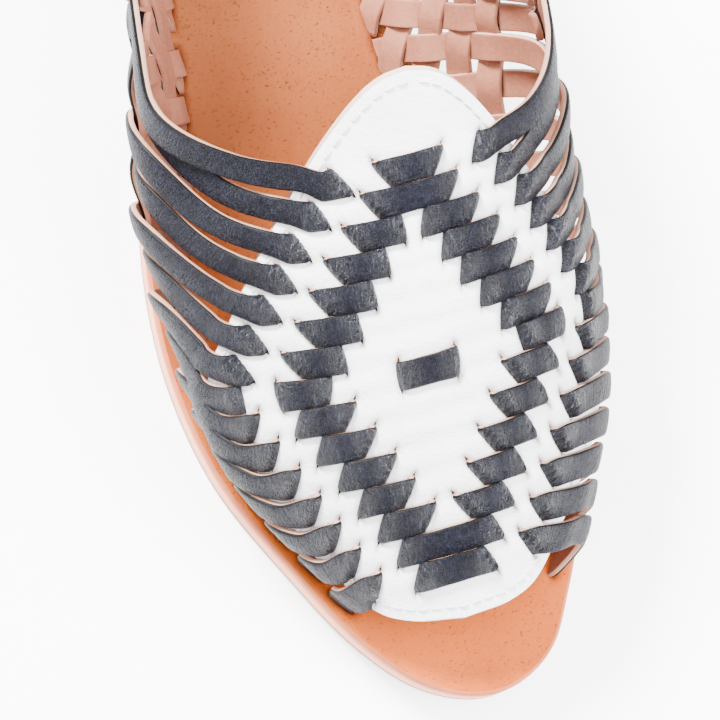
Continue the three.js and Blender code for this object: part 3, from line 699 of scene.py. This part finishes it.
def raw_edge(name, light, dark, layers=0.0):
    """Cut leather, in seams one above the other where a scale for the layers is given."""
    n = Nodes(name)
    fibre = n.noise(520, 5, 0.65, n.place("Object", (1, 1, 3 if layers else 1.6)))
    patch = n.noise(45, 3)
    colour = n.blend(n.grey(patch, 0, 1, (0.3, 0.7)), dark, light)
    if layers:
        band = n.node("TexWave", Vector=n.here, Scale=layers, Distortion=1.2)
        band.bands_direction = "Z"
        seam = n.grey(band.outputs["Fac"], 0.55, 1, (0.0, 0.16))
        colour = n.tint(colour, n.ramp(seam, (0.5, (0.45, 0.4, 0.38)), (1, (1, 1, 1))))
    return n.finish(colour, 0.72, n.bump(fibre, 0.5, 0.0003))


def footbed_leather():
    n = Nodes("footbed_leather")
    cloud = n.noise(28, 5, 0.6)
    freckle = n.noise(2000, 3, 0.55, n.place("Object", (1, 0.6, 1)))
    spread = n.noise(120, 3)
    grain = n.noise(900, 5, 0.65)
    light, middle, dark = (0.49, 0.115, 0.023), (0.43, 0.09, 0.0155), (0.36, 0.068, 0.0105)
    base = n.ramp(cloud, (0.25, dark), (0.5, middle), (0.78, light))
    dots = n.grey(freckle, 0, 1, (0.6, 0.68))
    dots = n.math("MULTIPLY", dots, n.grey(spread, 0.45, 1, (0.35, 0.6)))
    colour = n.blend(n.math("MULTIPLY", dots, 0.7), base, (0.12, 0.016, 0.005))
    # painted shade: darker and less red towards the heel, under the quarter, and lighter towards the toe
    ahead = n.node("SeparateXYZ", Vector=n.here).outputs[0]
    shade_along = n.grey(ahead, 0, 1, (0.08, 0.185))
    shade_along = n.ramp(shade_along, (0.0, (0.5, 0.62, 0.9)), (1.0, (1.1, 1.15, 1.12)))
    # painted light and shade from the mark: darker down in the slits, lighter on the lips round them
    lit_rim, shaded, deep = (1.22, 1.26, 1.3), (0.72, 0.62, 0.55), (0.2, 0.13, 0.1)
    shade = n.ramp(n.mark(), (0.0, lit_rim), (PLAIN_SHADE, (1, 1, 1)), (0.66, shaded), (1.0, deep))
    colour = n.tint(n.tint(colour, shade_along), shade)
    normal = n.bump(cloud, 0.25, 0.0012, n.bump(n.math("SUBTRACT", grain, dots), 0.5, 0.0003))
    roughness = n.grey(freckle, 0.42, 0.6, (0.3, 0.7))
    return n.finish(colour, roughness, normal, Specular_IOR_Level=0.07)


def thread_material():
    n = Nodes("white_thread")
    twist = n.node("TexWave", Vector=n.here, Scale=900.0)
    return n.finish((0.6, 0.6, 0.61), 0.6, n.bump(twist.outputs["Fac"], 0.4, 0.0001))


def floor_material():
    n = Nodes("pale_floor")
    cloud = n.noise(3, 2)
    colour = n.ramp(cloud, (0.3, (0.9, 0.9, 0.905)), (0.7, (0.915, 0.915, 0.92)))
    return n.finish(colour, 0.8, Emission_Color=(1, 1, 1, 1), Emission_Strength=2.6)


# in the order of LEATHER, PAINTED, FLESH and RAW
STRAP_MATERIALS = [
    navy_leather(), painted_edge(), flesh_leather(),
    raw_edge("strap_edge", (0.46, 0.275, 0.2), (0.33, 0.165, 0.11)),
]


def sole_outline(count):
    """The sole's edge in station and y, from the heel's back up the little-toe side."""
    turns = 3

    def heel(angle, side):
        return (HEEL_RADIUS * (1 - math.cos(angle)), side * HEEL_RADIUS * math.sin(angle))

    angles = [math.pi / 2 * (k + 1) / turns for k in range(turns - 1)]
    points = [heel(0, 1)]
    points += [heel(a, LATERAL) for a in angles]
    points += [(a * LENGTH, -lat * BALL_WIDTH) for a, lat, _ in EDGE]
    points += [(a * LENGTH, y * BALL_WIDTH) for a, y in TOE]
    points += [(a * LENGTH, med * BALL_WIDTH) for a, _, med in EDGE[::-1]]
    points += [heel(a, MEDIAL) for a in angles[::-1]]
    return catmull(points, True, count)


OUTLINE = sole_outline(420)


def grid_points(pitch, low, high):
    x = np.arange(low[0], high[0], pitch)
    y = np.arange(low[1], high[1], pitch)
    grid = np.stack(np.meshgrid(x, y, indexing="ij"), -1)
    grid[::2, :, 1] += pitch / 2
    return grid.reshape(-1, 2)


def lift_to_frame(flat, height):
    return np.column_stack([flat[:, 0] - HEEL_RADIUS, flat[:, 1], height])


def anticlockwise(verts, tris):
    a, b, c = verts[tris[0]]
    return bool(cross_of(b - a, c - a) > 0)


def sole_layer(name, replaces, base, rim, materials, top_pitch, outline=OUTLINE,
               floor=underside, slits=False):
    """A layer of the sole, closed above and below its rim, with slits in its top or without."""
    pile = Pile()
    loops = [inset(outline, by) for by, _ in rim]
    points = [lift_to_frame(line, floor(line[:, 0]) + base + up) for line, (_, up) in zip(loops, rim)]
    faces = tube(len(rim), len(outline))
    pile.add(np.concatenate(points), faces, [1] * len(faces))
    for end, pitch in ((0, UNDERSIDE_PITCH), (-1, top_pitch)):
        upwards = end == -1
        loop, height = loops[end], rim[end][1]
        inner = grid_points(pitch, loop.min(axis=0), loop.max(axis=0))
        inner = inner[in_polygon(inner, inset(loop, pitch * 0.7))]
        if upwards and slits:
            inner = np.concatenate([inner[away_from_slits(inner)], slit_points()])
        verts, tris = fill(loop, [], inner)
        z = floor(verts[:, 0]) + base + height
        mark = np.full(len(verts), PLAIN_SHADE)
        if upwards and slits:
            drop, mark = footbed_relief(verts)
            z = z + drop
        turned = tris if anticlockwise(verts, tris) == upwards else tris[:, ::-1]
        pile.add(lift_to_frame(verts, z), turned.tolist(), [0] * len(tris), mark=mark)
    pile.make(name, materials, replaces)


def steep_slit(side):
    path = path_at(SECOND_SWELL[side])
    return path - STEEP_LEAN * swell_height(side, path)


STEEP_END = {side: steep_slit(side) for side in SIDES}


def quarter_family(side):
    """Straight lines of one family: signed path at the footbed, and run over rise."""
    steep, shallow = STEEP_END[side], path_at(CROSS_FRONT[-side])

    def lean(slit):
        return STEEP_LEAN + (SHALLOW_LEAN - STEEP_LEAN) * (steep - slit) / (steep + shallow)

    slits = [steep]
    while slits[-1] > -shallow:
        slits.append(slits[-1] - QUARTER_PITCH * math.hypot(1, lean(slits[-1])))
    stretch = (shallow + steep) / (steep - slits[-1])
    slits = [steep + (s - steep) * stretch for s in slits]
    return [(side * s, side * lean(s)) for s in slits]


def collar_knots(side):
    knots = [crown_knot(station, side * girth) for station, girth in COLLAR[side]]
    return knots + [(side * path_at(station), up) for station, up in TOPLINE[side]]


COLLAR_TABLE = {
    side: [(0, COLLAR_BACK)] + [(abs(p), u) for p, u in collar_knots(side)[::-1]]
    for side in SIDES
}


def collar_up(path):
    return cubic(COLLAR_TABLE[LATERAL if path < 0 else MEDIAL], 1, abs(path))


def veer(row, side):
    """How a strap leaves its row's line: distance past its edge slot, and how far it has turned.

    The numbers are traced from the photo, for rows counted from the second.
    """
    k = row - 2
    if side == MEDIAL:
        return [(7.0, -1.8 + 0.23 * k)] + ([(13.5, -4.6 + 0.8 * k)] if row < 5 else [])
    near = (9.0 - 0.3 * k, -2.4 + 0.3 * k)
    return [near, (18.5 - 0.5 * k, -4.4 - 0.9 * k)] if row < 8 else [near]


def outer_curve(row, side):
    """A vamp strap from its edge slot to the footbed, as path and height."""
    edge = SLOTS[row - 1][0]
    swell_station = OUTER_SWELL[side] + SWELL_PITCH[side] * (row - 2)
    swell_up = swell_height(side, path_at(swell_station))
    upright = (row - 2) / (ROWS - 2)
    lean = STEEP_LEAN * swell_up * (1 - upright) - FRONT_LEAN[side] * upright**2
    knots = [crown_knot(row_station(row, side * edge), side * edge)]
    for past, off in veer(row, side):
        girth = side * (edge + past)
        knots.append(crown_knot(row_station(row, girth) + off, girth))
    return knots + [
        (side * path_at(swell_station), swell_up),
        (side * path_at(swell_station - lean), 0),
        (side * path_at(swell_station - lean - STEEP_LEAN * (1 - upright)), SLIT_DEPTH),
    ]


def plate_half(station):
    t = (station - PLATE_REAR) / (PLATE_FRONT - PLATE_REAR)
    return cubic(PLATE, 1, min(max(t, 0), 1)) * PLATE_HALF


def slant(side, where, row):
    early, late = SLANT[(side, where)]
    if row == 1 and where == "edge" and side == LATERAL:
        early *= COLLAR_SLANT
    turn = smooth_step((row - 7.2) / 1.6)
    return early + (late - early) * float(turn)


def slots_of(row):
    """A row's slots across the plate: distance from the ridge, and slant, in order."""
    edge, out, inner = SLOTS[row - 1]
    found = []
    for side in SIDES:
        found.append((side * edge, side * slant(side, "edge", row)))
        found.append((side * out, side * slant(side, "out", row)))
        if inner:
            found.append((side * inner, side * slant(side, "in", row)))
        if row == MIDDLE_ROW:
            found.append((side * HEART_HALF, 0.0))
    return sorted(found)


def crossings(first, second, shift):
    """Where straps of two families meet, as lengths along both, with which lies over."""
    meets = {id(s): [] for s in first + second}
    for a in first:
        for b in second:
            p, r = a["curve"][:-1, None], np.diff(a["curve"], axis=0)[:, None]
            q, s = b["curve"][None, :-1], np.diff(b["curve"], axis=0)[None]
            cross = cross_of(r, s)
            with np.errstate(divide="ignore", invalid="ignore"):
                t, u = cross_of(q - p, s) / cross, cross_of(q - p, r) / cross
            for k, m in np.argwhere((t >= 0) & (t < 1) & (u >= 0) & (u < 1))[:1]:
                sign = 1 if (a["number"] + b["number"] + shift) % 2 else -1
                la, lb = lengths_of(a["curve"]), lengths_of(b["curve"])
                meets[id(a)].append((la[k] + t[k, m] * (la[k + 1] - la[k]), sign))
                meets[id(b)].append((lb[m] + u[k, m] * (lb[m + 1] - lb[m]), -sign))
    return meets


def weave_lift(at, meets, start, end):
    """Lift along a strap: up or down at each crossing, easing to its ends."""
    meets = sorted(meets)
    xs = [at[0]] + [m[0] for m in meets] + [at[-1]]
    ys = [start] + [m[1] * WEAVE for m in meets] + [end]
    out = np.full(len(at), float(start))
    for k in range(len(xs) - 1):
        t = (at - xs[k]) / max(xs[k + 1] - xs[k], 1e-6)
        inside = t >= 0
        out[inside] = ys[k] + (ys[k + 1] - ys[k]) * smooth_step(t[inside])
    return out


def wall_grid(curve, lifts, seed, tilt=0.0, flare=0.0):
    """Middle points of a strap that follows a curve of path and height on the wall."""
    at = lengths_of(curve)
    across = left_of(unit(np.gradient(curve, axis=0)))
    half_width = (STRAP_WIDTH + wander(seed, at, 0.18)) / 2
    grid = curve[:, None] + across[:, None] * (ACROSS[None, :, None] * half_width[:, None, None])
    lift = lifts[:, None] + 0.14 * (1 - ACROSS**2)[None] + wander(seed + 7, at, 0.06)[:, None]
    ahead_of_middle = (np.abs(grid[..., 0]) - np.abs(curve[:, :1])) / (STRAP_WIDTH / 2)
    lift = lift - np.reshape(tilt, (-1, 1)) * ahead_of_middle
    lift = lift + np.reshape(flare, (-1, 1)) * (grid[..., 1] - curve[:, 1:]) / (STRAP_WIDTH / 2)
    return skin(grid[..., 0], grid[..., 1], lift)


def facing_out(middle, outward):
    """The grid with its across order turned so that its normal points off the wall."""
    along = middle[1, MIDDLE] - middle[0, MIDDLE]
    across = middle[0, -1] - middle[0, 0]
    return middle if np.cross(along, across) @ outward > 0 else middle[:, ::-1]


def alike(grid, row, other):
    """The grid with its across order turned so that its row runs the way of another."""
    own = grid[row, -1] - grid[row, 0]
    return grid if own @ (other[-1] - other[0]) >= 0 else grid[:, ::-1]


def curve_out(curve):
    return lookup(NORMAL, curve[0, 0], curve[0, 1])


def line_curve(slit, lean):
    """A quarter strap from the collar down into the footbed."""
    top = 48.0
    for _ in range(12):
        top = collar_up(slit + lean * top)
    ups = np.linspace(top + 0.5, SLIT_DEPTH, 60)
    return np.stack([slit + lean * ups, ups], -1)


def softened(curve, rounds):
    """The curve with its bends spread out; its last few points, at the footbed, stay put."""
    for _ in range(rounds):
        curve[1:-6] = (curve[:-7] + 2 * curve[1:-6] + curve[2:-5]) / 4
    return curve


def all_straps():
    """The straps of both families: vamp straps' outer runs and the quarter's."""
    found = {LATERAL: [], MEDIAL: []}
    for side in SIDES:
        for row in range(2, ROWS + 1):
            curve = softened(catmull(outer_curve(row, side), False, 60), 30)
            found[side].append({"side": side, "number": row, "curve": curve, "vamp": True})
        for k, (slit, lean) in enumerate(quarter_family(side)[1:], 1):
            curve = line_curve(slit, lean)
            found[side].append({"side": side, "number": 2 - k, "curve": curve, "vamp": False})
    return found


STRAPS = all_straps()
FOREMOST = min(s["number"] for s in STRAPS[MEDIAL])
MEETS = crossings(STRAPS[LATERAL], STRAPS[MEDIAL], -FOREMOST)


def plate_grid(row, girth):
    """Middle points of a row's strap where it threads the plate, and how near a slot is."""
    width = STRAP_WIDTH + wander(row, girth * 3, 0.15)
    w = ACROSS[None, :] * width[:, None] / 2
    g = girth[:, None] + 0 * w
    lift = np.full(g.shape, ON_PLATE)
    near = np.zeros(len(girth))
    sign = -2 * ON_PLATE
    for place, slope in slots_of(row):
        lift = lift + sign * smooth_step((g - place - slope * w / STRAP_WIDTH) / RAMP + 0.5)
        near = np.maximum(near, bell(girth - place, 3.5))
        sign = -sign
    dome = (0.2 + 0.5 * near)[:, None] * (1 - ACROSS**2)[None]
    past = np.maximum(np.abs(girth) - SLOTS[row - 1][0], 0)
    tilt = PLATE_TILT + PAST_TILT * smooth_step(past / 6.0)
    lift = lift + dome + wander(row + 3, girth * 4, 0.08)[:, None] - tilt[:, None] * ACROSS[None]
    return skin(*over_crown(row_station(row, g) + w, g), lift), near


def outer_grid(strap):
    """Middle points of a vamp strap's outer run, from its edge slot to the footbed."""
    side = strap["side"]
    curve, at = resample(strap["curve"], STEP)
    curve, at = curve[at > OUTER_START], at[at > OUTER_START]
    lifts = weave_lift(at, MEETS[id(strap)], 0.4, 0.1)
    for k, (path, up) in enumerate(curve):
        off = girth_of(side, abs(path)) - up - plate_half(station_at(abs(path)))
        hold = 1 - float(smooth_step(off / 7.0))
        lifts[k] += (ON_PLATE - lifts[k]) * hold
    over_swell = smooth_step((curve[:, 1] - swell_height(side, TILT_PATH)) / 14.0)
    tilt = LOW_TILT[side] + (TILT - LOW_TILT[side]) * over_swell
    grid = wall_grid(curve, lifts, strap["number"] + 20 * side, tilt=tilt)
    # the mark by the slots: navy_leather paints a highlight on the creases there, and makes them
    # glossier
    near = bell(at, 4.0) * 0.8 + 0.25 * bell(at - 14, 8.0)
    return facing_out(grid, curve_out(curve)), near


def joined(parts, reach=4, rounds=3):
    """The parts of a strap in one grid, with the kinks at their joints smoothed away."""
    grid = np.concatenate(parts)
    for _ in range(rounds):
        for joint in np.cumsum([len(part) for part in parts[:-1]]):
            low, high = max(joint - reach, 1), min(joint + reach, len(grid) - 1)
            around = grid[low - 1:high - 1] + 2 * grid[low:high] + grid[low + 1:high + 1]
            grid[low:high] = around / 4
    return grid


def vamp_straps():
    pile = Pile()
    for row in range(2, ROWS + 1):
        reach = SLOTS[row - 1][0] + PAST_SLOT
        plate, near = plate_grid(row, np.arange(-reach, reach + 0.1, 0.5))
        plate = facing_out(plate, lookup(NORMAL, *over_crown(row_station(row, 0), 0)))
        lateral, near_lateral = outer_grid(STRAPS[LATERAL][row - 2])
        medial, near_medial = outer_grid(STRAPS[MEDIAL][row - 2])
        lateral = alike(lateral[::-1], -1, plate[0])
        whole = joined([lateral, plate, alike(medial, 0, plate[-1])])
        mark = np.concatenate([near_lateral[::-1], near, near_medial])
        ribbon(pile, whole, lengths_of(whole[:, MIDDLE]) + row * 37, mark)
    pile.make("vamp_straps", STRAP_MATERIALS)


def quarter_straps():
    pile = Pile()
    for strap in STRAPS[LATERAL] + STRAPS[MEDIAL]:
        if strap["vamp"]:
            continue
        curve, at = resample(strap["curve"], STEP)
        lifts = weave_lift(at, MEETS[id(strap)], 0.1, 0.0)
        grid = wall_grid(curve, lifts, strap["number"] * 3 + 50 * strap["side"])
        grid = facing_out(grid, curve_out(curve))
        # the mark near the footbed's slit: navy_leather paints a highlight on the creases there
        mark = 0.15 + 0.5 * bell(at[-1] - at, 4)
        ribbon(pile, grid, at + strap["number"] * 41, mark, FLESH)
    pile.make("quarter_straps", STRAP_MATERIALS)


def collar_strap():
    """The first strap: through the plate's rear slots and back round the topline."""
    edge = SLOTS[0][0]
    knots = [crown_knot(row_station(1, edge), edge), *collar_knots(MEDIAL), (0, COLLAR_BACK)]
    knots += collar_knots(LATERAL)[::-1] + [crown_knot(row_station(1, -edge), -edge)]
    curve, at = resample(catmull(knots, False, 300), STEP)
    keep = (at > OUTER_START) & (at < at[-1] - OUTER_START - 2)
    curve, at = curve[keep], at[keep]
    flare = np.where(curve[:, 0] < 0, COLLAR_FLARE[LATERAL], COLLAR_FLARE[MEDIAL])
    flare = flare * smooth_step((at - at[0]) / 30) * smooth_step((at[-1] - at) / 30)
    topline = wall_grid(curve, COLLAR_LIFT + 0.6 * flare, 5, flare=flare)
    first, near_first = plate_grid(1, np.arange(-edge + 4, edge + PAST_SLOT, 0.5))
    last, near_last = plate_grid(1, np.arange(-edge - PAST_SLOT - 2, -edge + 5, 0.5))
    first = facing_out(first, curve_out(curve))
    topline = alike(topline, 0, first[-1])
    whole = joined([first, topline, alike(last, 0, topline[-1])])
    mark = np.concatenate([near_first, np.full(len(at), 0.12), near_last])
    pile = Pile()
    ribbon(pile, whole, lengths_of(whole[:, MIDDLE]), mark)
    pile.make("collar_strap", STRAP_MATERIALS)


def plate_outline():
    t = (1 - np.cos(np.linspace(0, math.pi, 200))) / 2
    station = PLATE_REAR + (PLATE_FRONT - PLATE_REAR) * t
    reach = np.array([plate_half(s) for s in station])
    lateral, medial = (np.stack([station, y], -1) for y in (-reach, reach))
    loop = np.concatenate([lateral, medial[::-1][1:-1]])
    return resample(shut(loop), lengths_of(loop)[-1] / PLATE_POINTS)[0][:-1]


def slot_loops():
    loops = []
    for row in range(1, ROWS + 1):
        for place, slope in slots_of(row):
            first, last = (
                np.array([
                    row_station(row, place) + w * (STRAP_WIDTH / 2 + SLOT_SPARE),
                    place + slope * w / 2,
                ])
                for w in (-1, 1)
            )
            ahead = (last - first) / np.linalg.norm(last - first)
            side = left_of(ahead) * SLOT_WIDTH / 2
            tip = ahead * SLOT_TIP
            loops.append(np.array([
                first - tip, first - side, last - side, last + tip, last + side, first + side,
            ]))
    return loops


def pucker(station, girth):
    """How the plate rises over straps that pass under it, and sinks by its slots."""
    rise = np.zeros(len(station))
    for row in range(1, ROWS + 1):
        d = station - row_station(row, girth)
        w = np.clip(d, -STRAP_WIDTH / 2, STRAP_WIDTH / 2)
        hidden = np.zeros(len(station))
        sign = 1.0
        for place, slope in slots_of(row):
            cut = girth - place - slope * w / STRAP_WIDTH
            hidden += sign * smooth_step(cut / 3.0 + 0.5)
            sign = -sign
            rise -= 0.5 * bell(cut, 1.2) * np.exp(-((d / 3.2) ** 4))
        rise += (0.85 * hidden - 0.1) * bell(d, 2.6)
    return rise


def to_wall(flat, lift):
    return skin(*over_crown(flat[:, 0], flat[:, 1]), lift)


def vamp_plate():
    loop = plate_outline()
    holes = slot_loops()
    rims = [inset(hole, -SLOT_RIM) for hole in holes]
    inner = grid_points(1.25, loop.min(axis=0), loop.max(axis=0))
    inner = inner[within(inner, inset(loop, 0.9), rims)]
    rim_points = np.concatenate(rims)
    rim_points = rim_points[in_polygon(rim_points, loop)]
    verts, tris = fill(loop, holes, np.concatenate([inner, rim_points]))
    # how near each point lies to a slot; white_leather paints shadow round the slots from it
    at_slots = np.zeros(len(verts))
    for hole in holes:
        d = np.linalg.norm(verts[:, None] - hole[None], axis=2).min(axis=1)
        at_slots = np.maximum(at_slots, bell(d, 1.0))
    edges = dict.fromkeys(e for a, b, c in tris for e in ((a, b), (b, c), (c, a)))
    rim = [e for e in edges if (e[1], e[0]) not in edges]
    on_rim = np.isin(np.arange(len(verts)), rim)
    to_loop = np.linalg.norm(verts[:, None] - loop[None], axis=2)
    from_edge = to_loop.min(axis=1)
    at_edge = from_edge < 0.01
    spread = (inset(loop, -UNDER_SPREAD) - loop)[to_loop.argmin(axis=1)]
    rise = pucker(verts[:, 0], verts[:, 1])
    groove = bell(from_edge - STITCH_INSET, 0.5)
    top = to_wall(verts, PLATE_THICK / 2 + rise - 0.22 * on_rim - 0.25 * groove)
    bottom = to_wall(verts + at_edge[:, None] * spread, -PLATE_THICK / 2 + rise * 0.8)
    a, b, c = top[tris[0]]
    if np.cross(b - a, c - a) @ lookup(NORMAL, *over_crown(*verts[tris[0][0]])) < 0:
        tris = tris[:, ::-1]
        rim = [(b, a) for a, b in rim]
    pile = Pile()
    pile.add(top, tris.tolist(), [0] * len(tris), mark=at_slots)
    pile.add(bottom, tris[:, ::-1].tolist(), [2] * len(tris))
    n = len(top)
    sides = [[b, a, n + a, n + b] for a, b in rim]
    pile.add(np.concatenate([top, bottom]), sides, [int(at_edge[a]) for a, _ in rim])
    edge = raw_edge("plate_edge", (0.62, 0.46, 0.38), (0.42, 0.28, 0.22))
    lining = raw_edge("plate_lining", (0.5, 0.26, 0.17), (0.4, 0.18, 0.1))
    pile.make("vamp_plate", [white_leather(), edge, lining])


def stitches():
    """White stitches just inside the plate's edge."""
    line = resample(shut(inset(plate_outline(), STITCH_INSET)), 0.25)[0]
    total = lengths_of(line)[-1]
    turn = np.linspace(0, 2 * math.pi, THREAD_SIDES + 1)[:-1, None]
    arch = np.sin(np.linspace(0, math.pi, STITCH_RINGS)) ** 0.5 * 0.3 - 0.16
    faces = [face[:1] + face[:0:-1] for face in tube(STITCH_RINGS, THREAD_SIDES)]
    size = STITCH_RINGS * THREAD_SIDES
    faces += [list(range(THREAD_SIDES))[::-1], list(range(size - THREAD_SIDES, size))]
    pile = Pile()
    for k in range(int(total / STITCH_PITCH)):
        start = k * STITCH_PITCH
        at = np.linspace(start, start + STITCH_LENGTH, STITCH_RINGS) / total * (len(line) - 1)
        flat = points_at(line, np.arange(len(line)), at)
        centre = to_wall(flat, PLATE_THICK / 2 + pucker(flat[:, 0], flat[:, 1]) + arch)
        out = to_wall(flat, 2.0) - to_wall(flat, 1.0)
        side = np.cross(unit(np.gradient(centre, axis=0)), out)
        spokes = np.cos(turn) * out[:, None] + np.sin(turn) * side[:, None]
        ring = centre[:, None] + THREAD_RADIUS * spokes
        pile.add(ring.reshape(-1, 3), faces, [0] * len(faces))
    pile.make("plate_stitches", [thread_material()])


def slit_marks():
    """Where each strap goes into the footbed: a point and the slit's direction."""
    marks = []
    for strap in STRAPS[LATERAL] + STRAPS[MEDIAL]:
        path = np.interp(0, -strap["curve"][:, 1], strap["curve"][:, 0])
        a, b = (skin(path + d, 0.0)[:2] for d in (-0.5, 0.5))
        marks.append(((a + b) / 2 + [HEEL_RADIUS, 0], (b - a) / np.linalg.norm(b - a)))
    return marks


SLITS = slit_marks()


def from_slit(points, centre, ahead):
    """How far points lie from a slit's middle, along and across it."""
    d = points - centre
    return np.abs(d @ ahead), np.abs(d @ left_of(ahead))


def footbed_relief(verts):
    """How far the footbed's surface sinks, and its painted shade: dark slits, lit lips round them."""
    drop = np.zeros(len(verts))
    shade = np.full(len(verts), PLAIN_SHADE)
    for centre, ahead in SLITS:
        along, across = from_slit(verts, centre, ahead)
        gap = np.hypot(np.maximum(along - STRAP_WIDTH / 2, 0), across)
        drop -= SLIT_SINK * bell(gap, 1.1)
        drop += SLIT_LIP * bell(gap - 2.4, 0.9)
        # painted shade down in the slit, and painted light on the lip round it
        shade = np.maximum(shade, PLAIN_SHADE + 0.66 * bell(gap, 1.3))
        lit_rim = np.minimum(shade, PLAIN_SHADE - 0.3 * bell(gap - 2.6, 0.8))
        shade = np.where(shade < SHADED_FROM, lit_rim, shade)
    heel = bell(verts[:, 0] - 36, 26) * bell(verts[:, 1], 18)
    ball = bell(verts[:, 0] - 172, 30) * bell(verts[:, 1] - 6, 24)
    return drop - 0.35 * heel - 0.3 * ball, shade


def slit_points():
    """Extra points round the slits, none nearly on top of another."""
    points = []
    for centre, ahead in SLITS:
        side = left_of(ahead)
        points += [centre + ahead * a + side * b for a in SLIT_ALONG for b in SLIT_ACROSS]
    points = np.array(points)
    rounded = np.round(points / 0.35).astype(int)
    _, keep = np.unique(rounded, axis=0, return_index=True)
    points = points[np.sort(keep)]
    return points[in_polygon(points, inset(OUTLINE, 1.0))]


def away_from_slits(points):
    away = np.ones(len(points), bool)
    for centre, ahead in SLITS:
        along, across = from_slit(points, centre, ahead)
        away &= ~((along < 5.0) & (across < 3.0))
    return away


def heel_outline():
    """The heel block's outline: the sole's, cut off straight at the breast."""
    loop = inset(OUTLINE, HEEL_INSET)
    loop = loop[loop[:, 0] < HEEL_BREAST]
    order = np.where(loop[:, 1] < 0, loop[:, 0], 2 * HEEL_BREAST - loop[:, 0])
    loop = loop[np.argsort(order)]
    lateral, medial = loop[loop[:, 1] < 0], loop[loop[:, 1] >= 0]
    breast = np.linspace(lateral[-1], medial[0], 30)
    breast[:, 0] = HEEL_BREAST
    return resample(shut(np.concatenate([lateral, breast, medial])), 1.5)[0][:-1]


def build_sole():
    tan = footbed_leather()
    tan_edge = raw_edge("footbed_edge", (0.5, 0.14, 0.055), (0.34, 0.07, 0.022))
    peach = raw_edge("sole_edge", (0.88, 0.38, 0.22), (0.74, 0.26, 0.135))
    grey = raw_edge("outsole_edge", (0.36, 0.25, 0.235), (0.26, 0.175, 0.165))
    stack = raw_edge("heel_edge", (0.46, 0.18, 0.085), (0.3, 0.095, 0.038), 420.0)
    sole_layer(
        "footbed", "insole", FOOTBED_BASE, FOOTBED_RIM, [tan, tan_edge],
        FOOTBED_PITCH, slits=True,
    )
    sole_layer(
        "sole_welt", "midsole", MIDSOLE_BASE, MIDSOLE_RIM, [peach, peach],
        LAYER_PITCH,
    )
    sole_layer(
        "outsole_layer", "outsole", 0.0, OUTSOLE_RIM, [grey, grey], LAYER_PITCH,
    )
    sole_layer(
        "heel_stack", "heel", 0.0, HEEL_RIM, [stack, stack], LAYER_PITCH,
        outline=heel_outline(), floor=np.zeros_like,
    )


# name, place, size in metres, and power in watts
LIGHTS = (
    ("key", (-0.7, -0.5, 0.9), 0.35, 125.0),
    ("top", (0.25, 0.05, 1.5), 1.4, 65.0),
    ("fill", (0.6, 0.9, 0.8), 1.0, 50.0),
)
LIT_POINT = (0.1, 0.0, 0.03)
FLOOR_HALF = 4.0


def stage():
    mesh = bpy.data.meshes.new("floor")
    corners = [(x * FLOOR_HALF, y * FLOOR_HALF, 0) for x, y in ((-1, -1), (1, -1), (1, 1), (-1, 1))]
    mesh.from_pydata(corners, [], [(0, 1, 2, 3)])
    mesh.materials.append(floor_material())
    floor = add_object("floor", mesh)
    world = bpy.data.worlds.new("studio")
    world.use_nodes = True
    background = world.node_tree.nodes["Background"]
    background.inputs["Color"].default_value = (1.0, 1.0, 1.0, 1)
    background.inputs["Strength"].default_value = 1.0
    bpy.context.scene.world = world
    for name, spot, size, power in LIGHTS:
        light = bpy.data.lights.new(name, "AREA")
        light.size = size
        light.energy = power
        lamp = add_object(name, light)
        lamp.location = spot
        aim = Vector(LIT_POINT) - Vector(spot)
        lamp.rotation_euler = aim.to_track_quat("-Z", "Y").to_euler()


def camera():
    """The photo's camera: over the shoe, leaning to the little toe and the toe, and rolled."""
    distance, to_lateral, to_toe, roll = 700.0, 15.0, 10.0, 13.0
    scale, frame_pixels, sensor = 4.45, 720.0, 36.0  # scale in pixels per millimetre
    target = np.array([171.13 - HEEL_RADIUS, 0.0, 20.0])
    forward = np.array([-math.tan(math.radians(to_toe)), math.tan(math.radians(to_lateral)), -1.0])
    forward /= np.linalg.norm(forward)
    up = np.array([-1.0, 0.0, 0.0])
    up -= up @ forward * forward
    up /= np.linalg.norm(up)
    right = np.cross(forward, up)
    turn = math.radians(roll)
    up = math.cos(turn) * up + math.sin(turn) * right
    right = np.cross(forward, up)
    data = bpy.data.cameras.new("camera")
    data.sensor_width = sensor
    data.lens = scale * distance / frame_pixels * sensor
    data.clip_start, data.clip_end = 0.05, 20.0
    eye = add_object("camera", data)
    matrix = Matrix([[*c] for c in np.stack([right, up, -forward], -1)]).to_4x4()
    matrix.translation = Vector((target - distance * forward) * MM)
    eye.matrix_world = matrix
    bpy.context.scene.camera = eye


build_sole()
vamp_plate()
stitches()
vamp_straps()
quarter_straps()
collar_strap()
stage()
camera()
